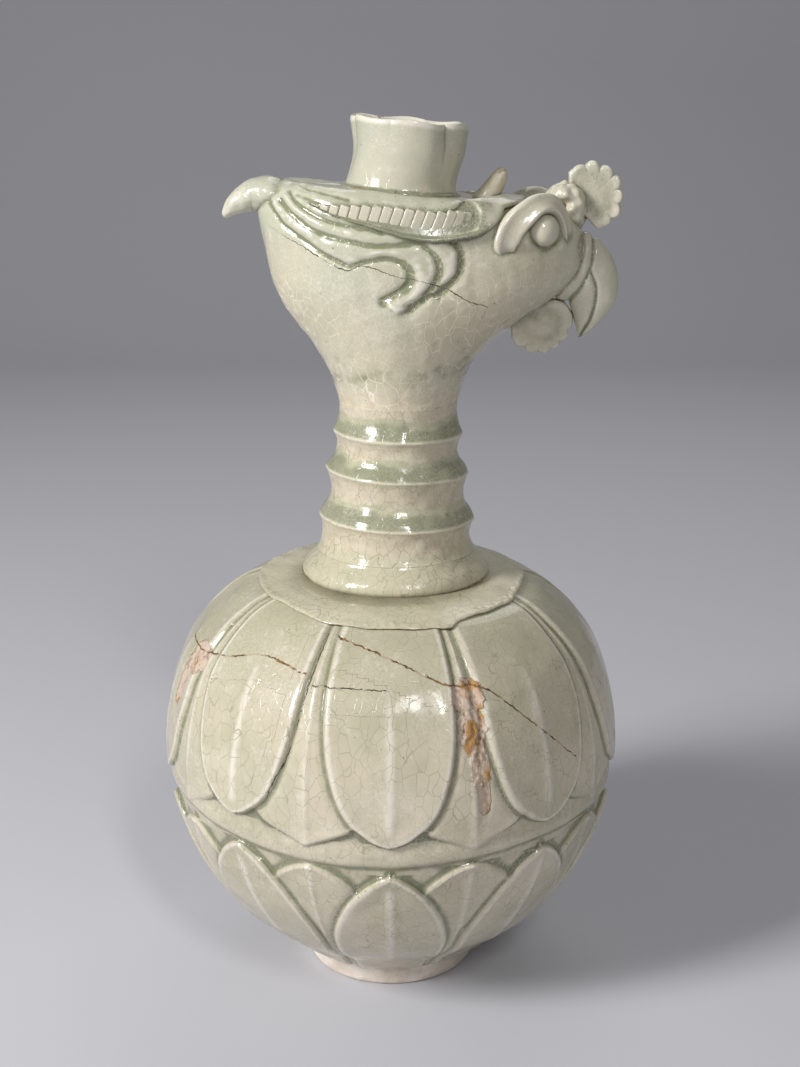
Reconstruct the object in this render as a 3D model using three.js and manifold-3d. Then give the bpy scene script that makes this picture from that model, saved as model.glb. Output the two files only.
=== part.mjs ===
// A phoenix-head ewer of pale green glazed stoneware, in millimetres, +Z up, beak towards +X.
// The origin is under the middle of the foot, on the body's axis. The side with the right eye faces -Y.
// It is built the way a potter lutes it: thrown and moulded sections stand on each other and the
// applied ornaments sit on the head, each a solid of its own with a slip joint between it and the next.
import * as THREE from 'three';
import { mergeVertices } from 'three/addons/utils/BufferGeometryUtils.js';
import Module from 'manifold-3d';

const wasm = await Module();
wasm.setup();

// Driving dimensions
const SLIP = 0.3;
const SEAT = 0.45;
const WALL = 6;
const FOOT_TOP = 10.4;
const WAIST_Z = 95;
const SHOULDER_Z = 187;
const SHOULDER_R = 59;
const SHOULDER_BORE = 34;
const COLLAR_Z = 190.2;
const COLLAR_THICK = 1.5;
const FLANGE_Z = 201;
const NECK_TOP = 268;
const HEAD_TOP = 357.5;
const PETALS = 9;
const PETAL_RELIEF = 2.4;
const PETAL_RIM = 2.9;
const PETAL_DISH = 0.5;
const HEAD_AXIS_X = 4.5;
const NECK_X = 2.2;
const NECK_LEAN = 1.2 / (NECK_TOP - COLLAR_Z);
const RIDGE_TILT = 0.03;
const TOP_TILT = 0.085;
const MOUTH_HEIGHT = 29.5;
const MOUTH_R = 23.8;
const MOUTH_WALL = 3.4;
const LOBES = 6;
const LOBE_PHASE = -19;
const BAND_STEPS = 52;
const EYE_DEGREES = 34;
const EYE_LEVEL = 8.75;

// Colours
const GLAZE = { color: 0xb9c2a0, roughness: 0.25, metalness: 0 };
const DEEP_GLAZE = { color: 0x9aa883, roughness: 0.22, metalness: 0 };
const BISCUIT = { color: 0xb58d6b, roughness: 0.85, metalness: 0 };

const group = new THREE.Group();

// General helpers
const rad = THREE.MathUtils.degToRad;
const lerp = THREE.MathUtils.lerp;
const smooth = THREE.MathUtils.smoothstep;

function curveThrough(points) {
  // A smooth curve y(x) through a few points, with the slope at each from its two neighbours
  const slope = points.map((p, i) => {
    const a = points[Math.max(i - 1, 0)];
    const b = points[Math.min(i + 1, points.length - 1)];
    return (b[1] - a[1]) / (b[0] - a[0]);
  });
  return (x) => {
    if (x <= points[0][0]) return points[0][1];
    if (x >= points.at(-1)[0]) return points.at(-1)[1];
    let i = 0;
    while (x > points[i + 1][0]) i += 1;
    const span = points[i + 1][0] - points[i][0];
    const t = (x - points[i][0]) / span;
    const rise = points[i + 1][1] - points[i][1];
    const bend0 = slope[i] * span - rise;
    const bend1 = slope[i + 1] * span - rise;
    return points[i][1] + rise * t + t * (1 - t) * (bend0 * (1 - t) - bend1 * t);
  };
}

function skin(rings, ends) {
  // Joins rings of equal count: ends is 'loop' for a wall open at both ends, or 'caps' for a closed body
  const count = rings[0].length;
  const points = rings.flat();
  const faces = [];
  const quad = (a, b, c, d) => faces.push(a, b, c, a, c, d);
  const last = ends === 'loop' ? rings.length : rings.length - 1;
  for (let i = 0; i < last; i += 1) {
    const next = (i + 1) % rings.length;
    for (let j = 0; j < count; j += 1) {
      const k = (j + 1) % count;
      quad(i * count + j, i * count + k, next * count + k, next * count + j);
    }
  }
  if (ends === 'caps') {
    for (const [row, flip] of [[0, true], [rings.length - 1, false]]) {
      const middle = new THREE.Vector3();
      rings[row].forEach((p) => middle.addScaledVector(p, 1 / count));
      points.push(middle);
      const hub = points.length - 1;
      for (let j = 0; j < count; j += 1) {
        const a = row * count + j;
        const b = row * count + ((j + 1) % count);
        faces.push(...(flip ? [hub, b, a] : [hub, a, b]));
      }
    }
  }
  return outward(points, faces);
}

function outward(points, faces) {
  let volume = 0;
  const cross = new THREE.Vector3();
  for (let i = 0; i < faces.length; i += 3) {
    const [a, b, c] = [points[faces[i]], points[faces[i + 1]], points[faces[i + 2]]];
    volume += a.dot(cross.crossVectors(b, c));
  }
  if (volume < 0) faces.reverse();
  const geometry = new THREE.BufferGeometry();
  geometry.setAttribute('position', new THREE.Float32BufferAttribute(points.flatMap((p) => [...p]), 3));
  geometry.setIndex(faces);
  return geometry;
}

function toSolid(geometry) {
  const bare = geometry.clone();
  bare.deleteAttribute('normal');
  bare.deleteAttribute('uv');
  const merged = mergeVertices(bare, 1e-4);
  const vertProperties = new Float32Array(merged.attributes.position.array);
  const triVerts = new Uint32Array(merged.index.array);
  return new wasm.Manifold(new wasm.Mesh({ numProp: 3, vertProperties, triVerts }));
}

function fromSolid(solid) {
  const mesh = solid.getMesh();
  const geometry = new THREE.BufferGeometry();
  geometry.setAttribute('position', new THREE.Float32BufferAttribute(mesh.vertProperties, 3));
  geometry.setIndex([...mesh.triVerts]);
  return geometry;
}

function grown(geometry, by) {
  // The same closed shape with every corner moved out along its normal
  const bare = geometry.clone();
  bare.deleteAttribute('normal');
  bare.deleteAttribute('uv');
  const merged = mergeVertices(bare, 1e-4);
  merged.computeVertexNormals();
  const { position, normal } = merged.attributes;
  for (let i = 0; i < position.count; i += 1) {
    position.setXYZ(
      i,
      position.getX(i) + by * normal.getX(i),
      position.getY(i) + by * normal.getY(i),
      position.getZ(i) + by * normal.getZ(i),
    );
  }
  return merged;
}

function cutBy(geometry, tools) {
  // Cuts one shape by others and keeps its largest remaining lump
  const rest = tools.reduce((solid, tool) => solid.subtract(toSolid(tool)), toSolid(geometry));
  const lumps = rest.decompose();
  lumps.sort((p, q) => q.volume() - p.volume());
  return fromSolid(lumps[0]);
}

function add(name, geometry, finish = GLAZE) {
  geometry.computeVertexNormals();
  const mesh = new THREE.Mesh(geometry, new THREE.MeshStandardMaterial(finish));
  mesh.name = name;
  group.add(mesh);
}

function around(count, place) {
  return Array.from({ length: count }, (_, i) => place((i / count) * 2 * Math.PI));
}

// Body: a full, slightly high-bellied profile, with two tiers of lotus petals in relief
const bodyRadius = curveThrough([
  [10.7, 42], [14, 48], [22, 56], [34, 71], [48, 82.4], [64, 92], [84, 99.5],
  [108, 103.3], [128, 102.2], [148, 97.2], [163, 90], [175, 79], [183, 68.5], [SHOULDER_Z, SHOULDER_R],
]);
const HANGING_TIP_Z = 101.5;
const RISING_TIP_Z = 89;
const hangingHalfWidth = curveThrough([[0, 1.8], [4, 5.2], [12, 10], [25, 13.4], [45, 15.9], [80, 17.4]]);
const risingHalfWidth = curveThrough([
  [0, 1.8], [3, 4.6], [8, 8.4], [17, 12], [31, 15.8], [46, 17.5], [72, 17.4],
]);
const HALF_CELL = 180 / PETALS;

function cellRing(z, w, face, channel, ridge) {
  // One level of a tier: each petal has two rims, a dished face and a midrib, then a channel on each
  // side and the ridge of the under-petal half way to the next petal
  const rim = 0.94 * w;
  const inner = 0.72 * w;
  const dished = Math.max(face - PETAL_DISH, 0);
  const section = [
    [-w - 0.8, channel], [-rim, face], [-inner, 0.9 * face], [-0.35 * w, dished], [0, 0.95 * face],
    [0.35 * w, dished], [inner, 0.9 * face], [rim, face], [w + 0.8, channel], [HALF_CELL, ridge],
  ];
  const ground = bodyRadius(z) - PETAL_RELIEF;
  const ring = [];
  for (let petal = 0; petal < PETALS; petal += 1) {
    for (const [offset, relief] of section) {
      const angle = rad(petal * 2 * HALF_CELL + offset);
      const r = ground + relief;
      ring.push(new THREE.Vector3(r * Math.sin(angle), -r * Math.cos(angle), z));
    }
  }
  return ring;
}

function petalRing(z, reach, halfWidth) {
  // reach is how far this level is inside the petal from its tip, negative beyond the tip;
  // the under-petal's own point ends 2 mm beyond it
  if (reach < -2) return cellRing(z, halfWidth(0), 0, 0, 0);
  const beside = reach > 10 ? 0.6 : 1.5;
  return cellRing(z, halfWidth(reach), reach >= 0 ? PETAL_RIM : 0.8, beside, 1.9);
}

function plainRing(z, r) {
  // The same count as a petal ring, nearly evenly spaced, so that it joins one
  return cellRing(z, HALF_CELL / 2, 0, 0, 0).map((p) => new THREE.Vector3(p.x, p.y, 0).setLength(r).setZ(z));
}

const circle = (r, z) => around(32, (a) => new THREE.Vector3(r * Math.cos(a), r * Math.sin(a), z));
const insideRadius = (z) => bodyRadius(z) - PETAL_RELIEF - WALL;

function footRing() {
  const profile = [[28, 0], [37.6, 0], [38.7, 1.2], [40.8, FOOT_TOP], [27, FOOT_TOP]];
  profile.push(profile[0]);
  return new THREE.LatheGeometry(profile.map(([r, z]) => new THREE.Vector2(r, z)), 42).rotateX(Math.PI / 2);
}

function lowerBowl() {
  const top = WAIST_Z - SLIP / 2;
  const levels = [14, 22, 34, 48, 60, 70, 78, 84, RISING_TIP_Z];
  const rings = [plainRing(FOOT_TOP + SLIP, bodyRadius(0))];
  for (const z of levels) rings.push(petalRing(z, RISING_TIP_Z - z, risingHalfWidth));
  rings.push(petalRing(RISING_TIP_Z + 2.5, -2.5, risingHalfWidth));
  rings.push(plainRing(top, bodyRadius(WAIST_Z) - 0.5));
  const hollow = [[30, 18], [insideRadius(28), 30], [insideRadius(58), 60], [insideRadius(WAIST_Z), top]];
  hollow.push([insideRadius(WAIST_Z), WAIST_Z + WALL]);
  return cutBy(skin(rings, 'caps'), [skin(hollow.map(([r, z]) => circle(r, z)), 'caps')]);
}

function upperBody() {
  const low = WAIST_Z + SLIP / 2;
  const levels = [HANGING_TIP_Z, 105, 111, 119, 130, 142, 154, 165, 174, 181];
  const rings = [plainRing(low, bodyRadius(low) - 0.5), petalRing(HANGING_TIP_Z - 3, -3, hangingHalfWidth)];
  for (const z of levels) rings.push(petalRing(z, z - HANGING_TIP_Z, hangingHalfWidth));
  rings.push(plainRing(SHOULDER_Z, SHOULDER_R));
  const hollow = [
    [insideRadius(WAIST_Z), low - WALL], [insideRadius(WAIST_Z), low], [insideRadius(115), 115],
    [insideRadius(143), 140], [insideRadius(171), 168], [SHOULDER_BORE + 1, SHOULDER_Z - WALL],
    [SHOULDER_BORE, SHOULDER_Z - WALL / 2], [SHOULDER_BORE, SHOULDER_Z + WALL],
  ];
  return cutBy(skin(rings, 'caps'), [skin(hollow.map(([r, z]) => circle(r, z)), 'caps')]);
}

// How far the collar reaches by degrees round from the front, further in front than at the sides
const collarEdge = curveThrough([
  [-180, 61], [-94, 59.8], [-62, 60.5], [-40, 62.5], [-24, 66], [3, 67], [20, 68.2],
  [30, 65], [55, 63], [76, 60], [130, 60.5], [180, 61],
]);

function shoulderCollar() {
  // A thin cape over the shoulder, level inside and sloping down over the petals' tops at its edge
  const low = SHOULDER_Z + SLIP;
  const bend = SHOULDER_R + 0.6;
  const slope = 0.44;
  const over = (r) => low - slope * Math.max(r - bend, 0);
  const ring = (reach, height) => around(PETALS * 5, (a) => {
    const r = reach(collarEdge(THREE.MathUtils.radToDeg(a) - 180));
    return new THREE.Vector3(-r * Math.sin(a), r * Math.cos(a), height(r));
  });
  return skin([
    ring(() => SHOULDER_BORE, () => low), ring(() => bend, over),
    ring((edge) => edge, over), ring((edge) => edge + 0.3, (r) => over(r) + 0.8),
    ring((edge) => edge - 0.8, (r) => over(r) + COLLAR_THICK),
    ring(() => 54, () => 189.2), ring(() => 44, () => COLLAR_Z), ring(() => SHOULDER_BORE, () => COLLAR_Z),
  ], 'loop');
}

// Neck: a flared skirt and a leaning tube with three sharp ridges, set a little towards the beak
const neckCentre = (z) => NECK_X + (z - COLLAR_Z) * NECK_LEAN;

// The ridges lie a little lower on the beak's side; the slope dies out towards the two joints
const ridgeTilt = curveThrough([[FLANGE_Z + 1, 0], [FLANGE_Z + 11, 1], [NECK_TOP - 12, 1], [NECK_TOP - 4, 0]]);

function leaningWall(outer, inner) {
  const ring = ([r, z]) => around(32, (a) => {
    const x = r * Math.cos(a);
    return new THREE.Vector3(neckCentre(z) + x, r * Math.sin(a), z - RIDGE_TILT * x * ridgeTilt(z));
  });
  return skin([...outer.map(ring), ...inner.reverse().map(ring)], 'loop');
}

function neckFlange() {
  const low = COLLAR_Z + SLIP;
  const outer = [[40.4, low], [41.8, low + 1.7], [40.4, low + 4.6], [37.4, low + 7.4], [35.2, FLANGE_Z]];
  return leaningWall(outer, [[30, low], [27.5, FLANGE_Z]]);
}

function neckTube() {
  const outer = [
    [35, FLANGE_Z + SLIP], [32.6, 208], [33, 212], [34.6, 216], [32.6, 218], [29.4, 223.5],
    [29.6, 232], [31.4, 236.7], [29.6, 238.7], [26.6, 244.6], [26.8, 250.6], [28.4, 253.8],
    [26.8, 255.8], [25.6, 262], [26, NECK_TOP],
  ];
  const inner = [[27, FLANGE_Z + SLIP], [24.5, 222], [20.8, 246], [20.5, NECK_TOP]];
  return leaningWall(outer, inner);
}

// Head: sections from the neck up and over the crown to the seat of the mouth
// Each row is how far along, height, front reach, rear reach and half width
const HEAD_ROWS = [
  [0, 268.3, 26, 26, 26],
  [1, 277, 28.6, 28.6, 27.4],
  [2, 286, 32.6, 33, 29.8],
  [3, 295, 41.5, 39, 32.4],
  [4, 304, 53, 45.5, 35],
  [5, 312, 63.5, 51, 36.8],
  [6, 321, 71, 55.6, 38],
  [7, 331, 73.4, 58.6, 38.4],
  [8, 341, 72, 61, 37.6],
  [9, 349, 71.6, 61.4, 35],
  [10, 354.5, 66, 57, 31],
  [11, HEAD_TOP - 0.3, 49, 46, 27],
  [12, HEAD_TOP, 21.5, 21.5, 21.5],
];
const headRow = [1, 2, 3, 4].map((column) => curveThrough(HEAD_ROWS.map((row) => [row[0], row[column]])));
const CROWN = HEAD_ROWS.at(-1)[0];
// How far the muzzle stands out in front by height, and where the head's own axis runs
const muzzleReach = curveThrough([
  [308, 0], [314, 0.6], [322, 3.4], [331, 5.4], [340, 5.4], [347, 3], [353, 0.6], [356, 0],
]);
const headAxis = curveThrough([[NECK_TOP, neckCentre(NECK_TOP)], [NECK_TOP + 60, HEAD_AXIS_X]]);

function headPoint(angle, along, grow = 0) {
  const [z, front, rear, half] = headRow.map((f) => f(along));
  const c = Math.cos(angle);
  const s = Math.sin(angle);
  const pinch = c < 0 ? 1 - 0.14 * c * c : 1;
  const lift = smooth(z, 305, 350) * TOP_TILT;
  const up = smooth(along, 9, 11.5) * grow;
  const x = headAxis(z) + c * ((c > 0 ? front : rear) + grow);
  const height = z + up - lift * (x - HEAD_AXIS_X);
  const turned = THREE.MathUtils.radToDeg(Math.abs(Math.atan2(s, c)));
  const muzzle = muzzleReach(height) * (1 - smooth(turned, 16, 36));
  const nape = 1.6 * smooth(turned, 120, 165) * smooth(along, 9.2, 10.2) * (1 - smooth(along, 10.8, 11.4));
  return new THREE.Vector3(x + muzzle, s * pinch * (half + grow), height + nape);
}

const HEAD_SIDES = 36;
const HEAD_LEVELS = [0, 1, 2, 3, 4, 5, 6, 7, 8, 8.7, 9.3, 9.8, 10.3, 10.8, 11.4, CROWN];
const headRing = (along, grow) => around(HEAD_SIDES, (a) => headPoint(a, along, grow));

function headCore(grow) {
  // The filled head, grown by the slip joint, that the applied ornaments are cut to fit
  return skin(HEAD_LEVELS.slice(0, -1).map((along) => headRing(along, grow)), 'caps');
}

function headShell() {
  const rings = HEAD_LEVELS.map((along) => headRing(along, 0));
  const insideLevels = [12, 11, 9.6, 8, 6, 4, 2, 0];
  for (const along of insideLevels) {
    rings.push(headRing(along, -5).map((p) => {
      const drop = along > 9 ? 1.5 : 0;
      return p.setZ(p.z - drop);
    }));
  }
  return skin(rings, 'loop');
}

// Mouth: a six-lobed cup, creased from the rim two thirds of the way down, faintly so at the front
function mouthCup() {
  const base = HEAD_TOP + SLIP;
  const ring = (r, up) => around(42, (a) => {
    const azimuth = Math.PI / 2 + a;
    const crease = (1 - Math.abs(Math.sin((LOBES / 2) * (azimuth - rad(LOBE_PHASE))))) ** 2;
    const fade = smooth(up, 0.25, 1);
    const past = (THREE.MathUtils.radToDeg(azimuth) - LOBE_PHASE + 180) % 360 - 180;
    const faint = Math.exp(-((past / 27) ** 2));
    const reach = r - 2.6 * crease * fade * (1 - 0.8 * faint);
    const x = HEAD_AXIS_X + 3.6 * smooth(up, 0, 0.7) + reach * Math.cos(a);
    const wave = 0.5 * fade * Math.cos(LOBES * azimuth);
    const z = base + up * MOUTH_HEIGHT + wave - TOP_TILT * (x - HEAD_AXIS_X);
    return new THREE.Vector3(x, reach * Math.sin(a), z);
  });
  const outer = [[MOUTH_R + 1, 0], [MOUTH_R, 0.06], [23.1, 0.36], [24.2, 0.65], [25.2, 0.93], [24.4, 1]];
  const inner = [[23, 1], [22, 0.93], [20.6, 0.6], [19.8, 0.3], [MOUTH_R - MOUTH_WALL, 0]];
  return skin([...outer, ...inner].map(([r, up]) => ring(r, up)), 'loop');
}

// Crest band: a notched ribbon round the head, from behind one side over the forehead to the other
const BAND_END = 126;
const bandLow = curveThrough([
  [0, 10.95], [20, 10.85], [35, 10.6], [48, 10.2], [54, 9.7], [59, 9.05], [64, 8.5], [71, 8.2], [82, 8],
  [97, 8.3], [110, 8.65], [BAND_END, 9.2],
]);
const bandHigh = curveThrough([
  [0, 11.45], [20, 11.4], [35, 11.3], [48, 11.1], [58, 10.8], [67, 10.3], [72, 9.95], [80, 9.75],
  [101, 9.75], [113, 9.6], [BAND_END, 9.5],
]);

function crestBand() {
  const rings = [];
  for (let i = 0; i <= BAND_STEPS; i += 1) {
    const degrees = lerp(-BAND_END, BAND_END, i / BAND_STEPS);
    const turn = Math.abs(degrees);
    const a = rad(degrees);
    const [v0, v1] = [bandLow(turn), bandHigh(turn)];
    const taper = Math.min(1, (BAND_END - turn) / 14 + 0.25);
    const proud = taper * (turn > 48 && i % 2 === 0 ? 2.1 : 3.3);
    rings.push([
      headPoint(a, v0, -1.5), headPoint(a, v0, 3 * taper), headPoint(a, lerp(v0, v1, 0.3), proud),
      headPoint(a, lerp(v0, v1, 0.9), proud), headPoint(a, v1, -1.5),
    ]);
  }
  return skin(rings, 'caps');
}

// Lofts of oval sections along a path in the plane of symmetry
function horned(stations, count) {
  // Each station is centre x, centre z, half width across, half thickness along the path's normal, tilt
  return skin(stations.map(([x, z, across, thick, tilt]) => around(count, (a) => {
    const n = Math.cos(a) * thick;
    return new THREE.Vector3(x + n * Math.sin(rad(tilt)), Math.sin(a) * across, z + n * Math.cos(rad(tilt)));
  })), 'caps');
}

const crestTip = () => horned([
  [-48, 355.8, 11, 7, 0], [-53, 356, 10, 7.4, -3], [-58.4, 355.4, 8.6, 7.2, -10],
  [-62.4, 354.6, 7, 6.2, -24], [-65.8, 352.6, 5.4, 4.6, -44], [-68.2, 350, 3.6, 3, -62],
  [-69.6, 347.6, 1.6, 1.4, -78],
], 14);

const horn = () => horned([
  [37.3, 350, 5.6, 5.6, -57], [40.2, 354.6, 5, 4.8, -57], [42.7, 358, 4.6, 4.4, -57],
  [44.9, 361.2, 4.1, 3.9, -58], [46.4, 363.8, 3.6, 3.3, -60], [47.5, 365.8, 2.8, 2.5, -62],
  [48, 366.8, 1.5, 1.3, -62],
], 12);

// Brow: a thick leaf that rises behind the eye, folds over it and comes down in front
// Each station is x, y, z on the right side, half width, and how far it stands out
const BROW = [
  [48, 29.5, 334.6, 1.6, 1.6], [47.8, 29.6, 338.4, 4.8, 2.6], [50.4, 28.4, 344.6, 5.6, 3.2],
  [55.6, 25.8, 350, 5.2, 3.6], [61.4, 22.6, 353, 4.6, 3.6], [66.8, 19.2, 352, 3.6, 3.4],
  [70.8, 16, 347.4, 2.8, 3], [73, 13.8, 341.4, 2.2, 2.6], [73.4, 13, 337.2, 1.2, 1.6],
];
const BROW_FACING = [
  [0.3, 0.95, 0], [0.32, 0.94, 0.06], [0.36, 0.88, 0.3], [0.4, 0.76, 0.5], [0.5, 0.66, 0.56],
  [0.66, 0.62, 0.42], [0.78, 0.6, 0.16], [0.82, 0.57, 0], [0.82, 0.57, -0.05],
];

function brow(side) {
  const mirrored = (rows) => rows.map(([x, y, z]) => new THREE.Vector3(x, side * y, z));
  const path = new THREE.CatmullRomCurve3(mirrored(BROW));
  const facing = new THREE.CatmullRomCurve3(mirrored(BROW_FACING));
  const along = (column) => curveThrough(BROW.map((station, i) => [i / (BROW.length - 1), station[column]]));
  const [halfWidth, lift] = [along(3), along(4)];
  const steps = 12;
  const depth = 7;
  const rings = [];
  for (let i = 0; i <= steps; i += 1) {
    const u = i / steps;
    const tangent = path.getTangent(u);
    const out = facing.getPoint(u).addScaledVector(tangent, -facing.getPoint(u).dot(tangent)).normalize();
    const across = out.clone().cross(tangent);
    const corner = (share, rise) => (
      path.getPoint(u).addScaledVector(across, share * halfWidth(u)).addScaledVector(out, rise)
    );
    const top = lift(u);
    rings.push([
      corner(-0.9, -depth), corner(-1, 0.4 * top), corner(-0.5, top),
      corner(0.5, top), corner(1, 0.4 * top), corner(0.9, -depth),
    ]);
  }
  return skin(rings, 'caps');
}

function eye(side) {
  const a = rad(side * EYE_DEGREES);
  const step = 0.01;
  const place = headPoint(a, EYE_LEVEL);
  const round = headPoint(a + step, EYE_LEVEL).sub(place);
  const rise = headPoint(a, EYE_LEVEL + step).sub(place);
  const facing = round.cross(rise).normalize();
  const pellet = new THREE.SphereGeometry(1, 12, 9).scale(6.2, 5.6, 7);
  return pellet.translate(...place.addScaledVector(facing, 1.8));
}

// Beak, cere, comb and wattle
function mandible(ridge, edge, halfWidth) {
  const top = new THREE.SplineCurve(ridge.map(([x, z]) => new THREE.Vector2(x, z)));
  const bottom = new THREE.SplineCurve(edge.map(([x, z]) => new THREE.Vector2(x, z)));
  const steps = 9;
  const rings = [];
  for (let i = 0; i <= steps; i += 1) {
    const u = i / steps;
    const [a, b] = [top.getPoint(u), bottom.getPoint(u)];
    const at = (share, across) => {
      const p = a.clone().lerp(b, share);
      return new THREE.Vector3(p.x, across * halfWidth(u), p.y);
    };
    rings.push([
      at(0, 0), at(0.08, 0.5), at(0.35, 0.92), at(0.7, 1), at(1, 0.86),
      at(1, -0.86), at(0.7, -1), at(0.35, -0.92), at(0.08, -0.5),
    ]);
  }
  return skin(rings, 'caps');
}

const beakUpper = () => mandible(
  [
    [72, 343.5], [80.8, 342], [88, 338.6], [94, 332],
    [97.6, 323], [97.6, 313], [92.6, 303.8], [83.4, 296.2],
  ],
  [
    [70, 325], [78, 326], [84, 325], [87.4, 319.4],
    [88.3, 313], [87.4, 307], [85.4, 302], [82.2, 297.4],
  ],
  curveThrough([[0, 12.5], [0.3, 9.6], [0.6, 6.6], [0.85, 3.6], [1, 1]]),
);

const beakLower = () => mandible(
  [
    [70, 324.4], [77, 324.6], [82.6, 323.2], [86, 318.6],
    [87.4, 312.6], [86.4, 307], [84.2, 301.6], [81.4, 298.6],
  ],
  [
    [66, 311], [70, 311.6], [73.4, 311.4], [76.6, 309.8],
    [78.8, 307.6], [79.8, 304.6], [80.4, 301.6], [80.6, 299],
  ],
  curveThrough([[0, 11], [0.3, 8.4], [0.6, 5.6], [0.85, 3], [1, 0.8]]),
);

// The cere: a thick tongue bent over the root of the beak
const cereCurl = () => horned([
  [66, 352.6, 6.4, 2.2, -50], [69.4, 356.8, 8.4, 3.2, -32], [74.6, 358.2, 9, 3.4, 6],
  [78.8, 355.6, 8.4, 3.4, 50], [80.2, 350.6, 7.4, 3.4, 86], [78.8, 345.4, 6, 3.2, 108],
  [77, 342, 4, 2.2, 118],
], 12);

function scallopedSheet(points, thickness) {
  // A flat sheet in the plane of symmetry, its edge a run of rounded lobes between the given notches
  const path = new THREE.Path();
  path.moveTo(...points[0]);
  for (const [x, z, bulgeX, bulgeZ] of points.slice(1)) {
    if (bulgeX === undefined) path.lineTo(x, z);
    else path.quadraticCurveTo(bulgeX, bulgeZ, x, z);
  }
  const outline = path.getPoints(5);
  const middle = new THREE.Vector2();
  outline.forEach((p) => middle.addScaledVector(p, 1 / outline.length));
  const bevel = 1;
  const layer = (share, y) => outline.map((p) => {
    const q = middle.clone().lerp(p, share);
    return new THREE.Vector3(q.x, y, q.y);
  });
  const half = thickness / 2;
  return skin([layer(0.9, -half), layer(1, bevel - half), layer(1, half - bevel), layer(0.9, half)], 'caps');
}

const comb = () => scallopedSheet([
  [79, 347], [83.4, 361], [80, 367, 76.5, 370.5], [87.5, 364.6, 84.5, 374], [93, 361, 92.5, 370],
  [95.6, 354, 99.5, 358.5], [93.6, 347, 101, 350.5], [86.4, 346.6, 91, 339],
], 6);

const wattle = () => scallopedSheet([
  [48, 300], [52.6, 295], [59.4, 290.6, 53.6, 289.5], [66, 290.2, 62, 286.8], [72.6, 295.2, 71, 287.6],
  [76, 301.4, 78.4, 294.4], [76.4, 307.6, 79.6, 304.4], [70, 314], [56, 308],
], 5);

// Assembly
add('foot_ring', footRing(), BISCUIT);
add('lower_bowl', lowerBowl());
add('upper_body', upperBody());
add('shoulder_collar', shoulderCollar(), DEEP_GLAZE);
add('neck_flange', neckFlange(), DEEP_GLAZE);
add('neck', neckTube(), DEEP_GLAZE);
add('head_shell', headShell());
add('mouth_cup', mouthCup());

// Each ornament is cut to sit on the head and against the ornaments that were there before it
const seats = [headCore(SLIP), grown(mouthCup(), SEAT)];

function apply(name, geometry, finish = GLAZE) {
  const fitted = cutBy(geometry, seats);
  seats.push(grown(geometry, SEAT));
  add(name, fitted, finish);
}

for (const [side, label] of [[-1, 'right'], [1, 'left']]) {
  apply(`eye_${label}`, eye(side));
  apply(`brow_${label}`, brow(side));
}
apply('beak_upper', beakUpper());
apply('beak_lower', beakLower());
apply('cere_curl', cereCurl());
apply('comb', comb());
apply('horn', horn());
apply('crest_tip', crestTip(), BISCUIT);
apply('crest_band', crestBand());
apply('wattle', wattle(), DEEP_GLAZE);

export default group;
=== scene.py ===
import math

import bpy
import numpy as np
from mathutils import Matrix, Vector, kdtree


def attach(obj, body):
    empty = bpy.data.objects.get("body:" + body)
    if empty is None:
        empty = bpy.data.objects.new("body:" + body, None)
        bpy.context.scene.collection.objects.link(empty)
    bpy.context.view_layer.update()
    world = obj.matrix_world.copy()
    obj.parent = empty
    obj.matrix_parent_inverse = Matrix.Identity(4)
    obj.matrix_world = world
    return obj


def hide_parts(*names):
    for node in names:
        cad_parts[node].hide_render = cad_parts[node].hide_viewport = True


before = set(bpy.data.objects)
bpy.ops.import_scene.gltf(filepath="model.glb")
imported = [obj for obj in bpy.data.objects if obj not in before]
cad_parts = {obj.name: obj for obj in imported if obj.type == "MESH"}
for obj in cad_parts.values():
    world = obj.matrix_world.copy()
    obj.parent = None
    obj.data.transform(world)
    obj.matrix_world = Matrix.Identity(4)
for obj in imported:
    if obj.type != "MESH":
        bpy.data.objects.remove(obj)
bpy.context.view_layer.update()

# The ewer stands on its foot at the origin, beak towards +X, right eye towards the camera at -Y.
# Shapes are worked out in millimetres and written to the meshes in metres.
MM = 0.001

# Camera: a 52 mm equivalent lens that looks 16 degrees down, for an image of 800 by 1067 pixels
FOCAL_PX = 1603.0
IMAGE_HEIGHT_PX = 1067.0
SENSOR_MM = 36.0
PITCH = math.radians(16.0)
CAMERA_MM = (4.1, -694.5, 405.6)


def link(thing):
    bpy.context.scene.collection.objects.link(thing)
    return thing


def make_camera():
    data = bpy.data.cameras.new("camera")
    data.sensor_width = SENSOR_MM
    data.lens = SENSOR_MM * FOCAL_PX / IMAGE_HEIGHT_PX
    data.clip_end = 20.0
    camera = link(bpy.data.objects.new("camera", data))
    camera.location = [v * MM for v in CAMERA_MM]
    camera.rotation_euler = (math.pi / 2 - PITCH, 0.0, 0.0)
    bpy.context.scene.camera = camera


make_camera()


# Curves and soft steps
def curve_through(points):
    """A smooth curve y(x) through a few points, its slope at each taken from the two neighbours."""
    xs, ys = np.array(points, float).T
    ahead = np.minimum(np.arange(len(xs)) + 1, len(xs) - 1)
    behind = np.maximum(np.arange(len(xs)) - 1, 0)
    slope = (ys[ahead] - ys[behind]) / (xs[ahead] - xs[behind])

    def at(x):
        x = np.clip(x, xs[0], xs[-1])
        i = np.clip(np.searchsorted(xs, x, side="right") - 1, 0, len(xs) - 2)
        span = xs[i + 1] - xs[i]
        t = (x - xs[i]) / span
        rise = ys[i + 1] - ys[i]
        bend = (slope[i] * span - rise) * (1 - t) - (slope[i + 1] * span - rise) * t
        return ys[i] + rise * t + t * (1 - t) * bend

    return at


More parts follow.
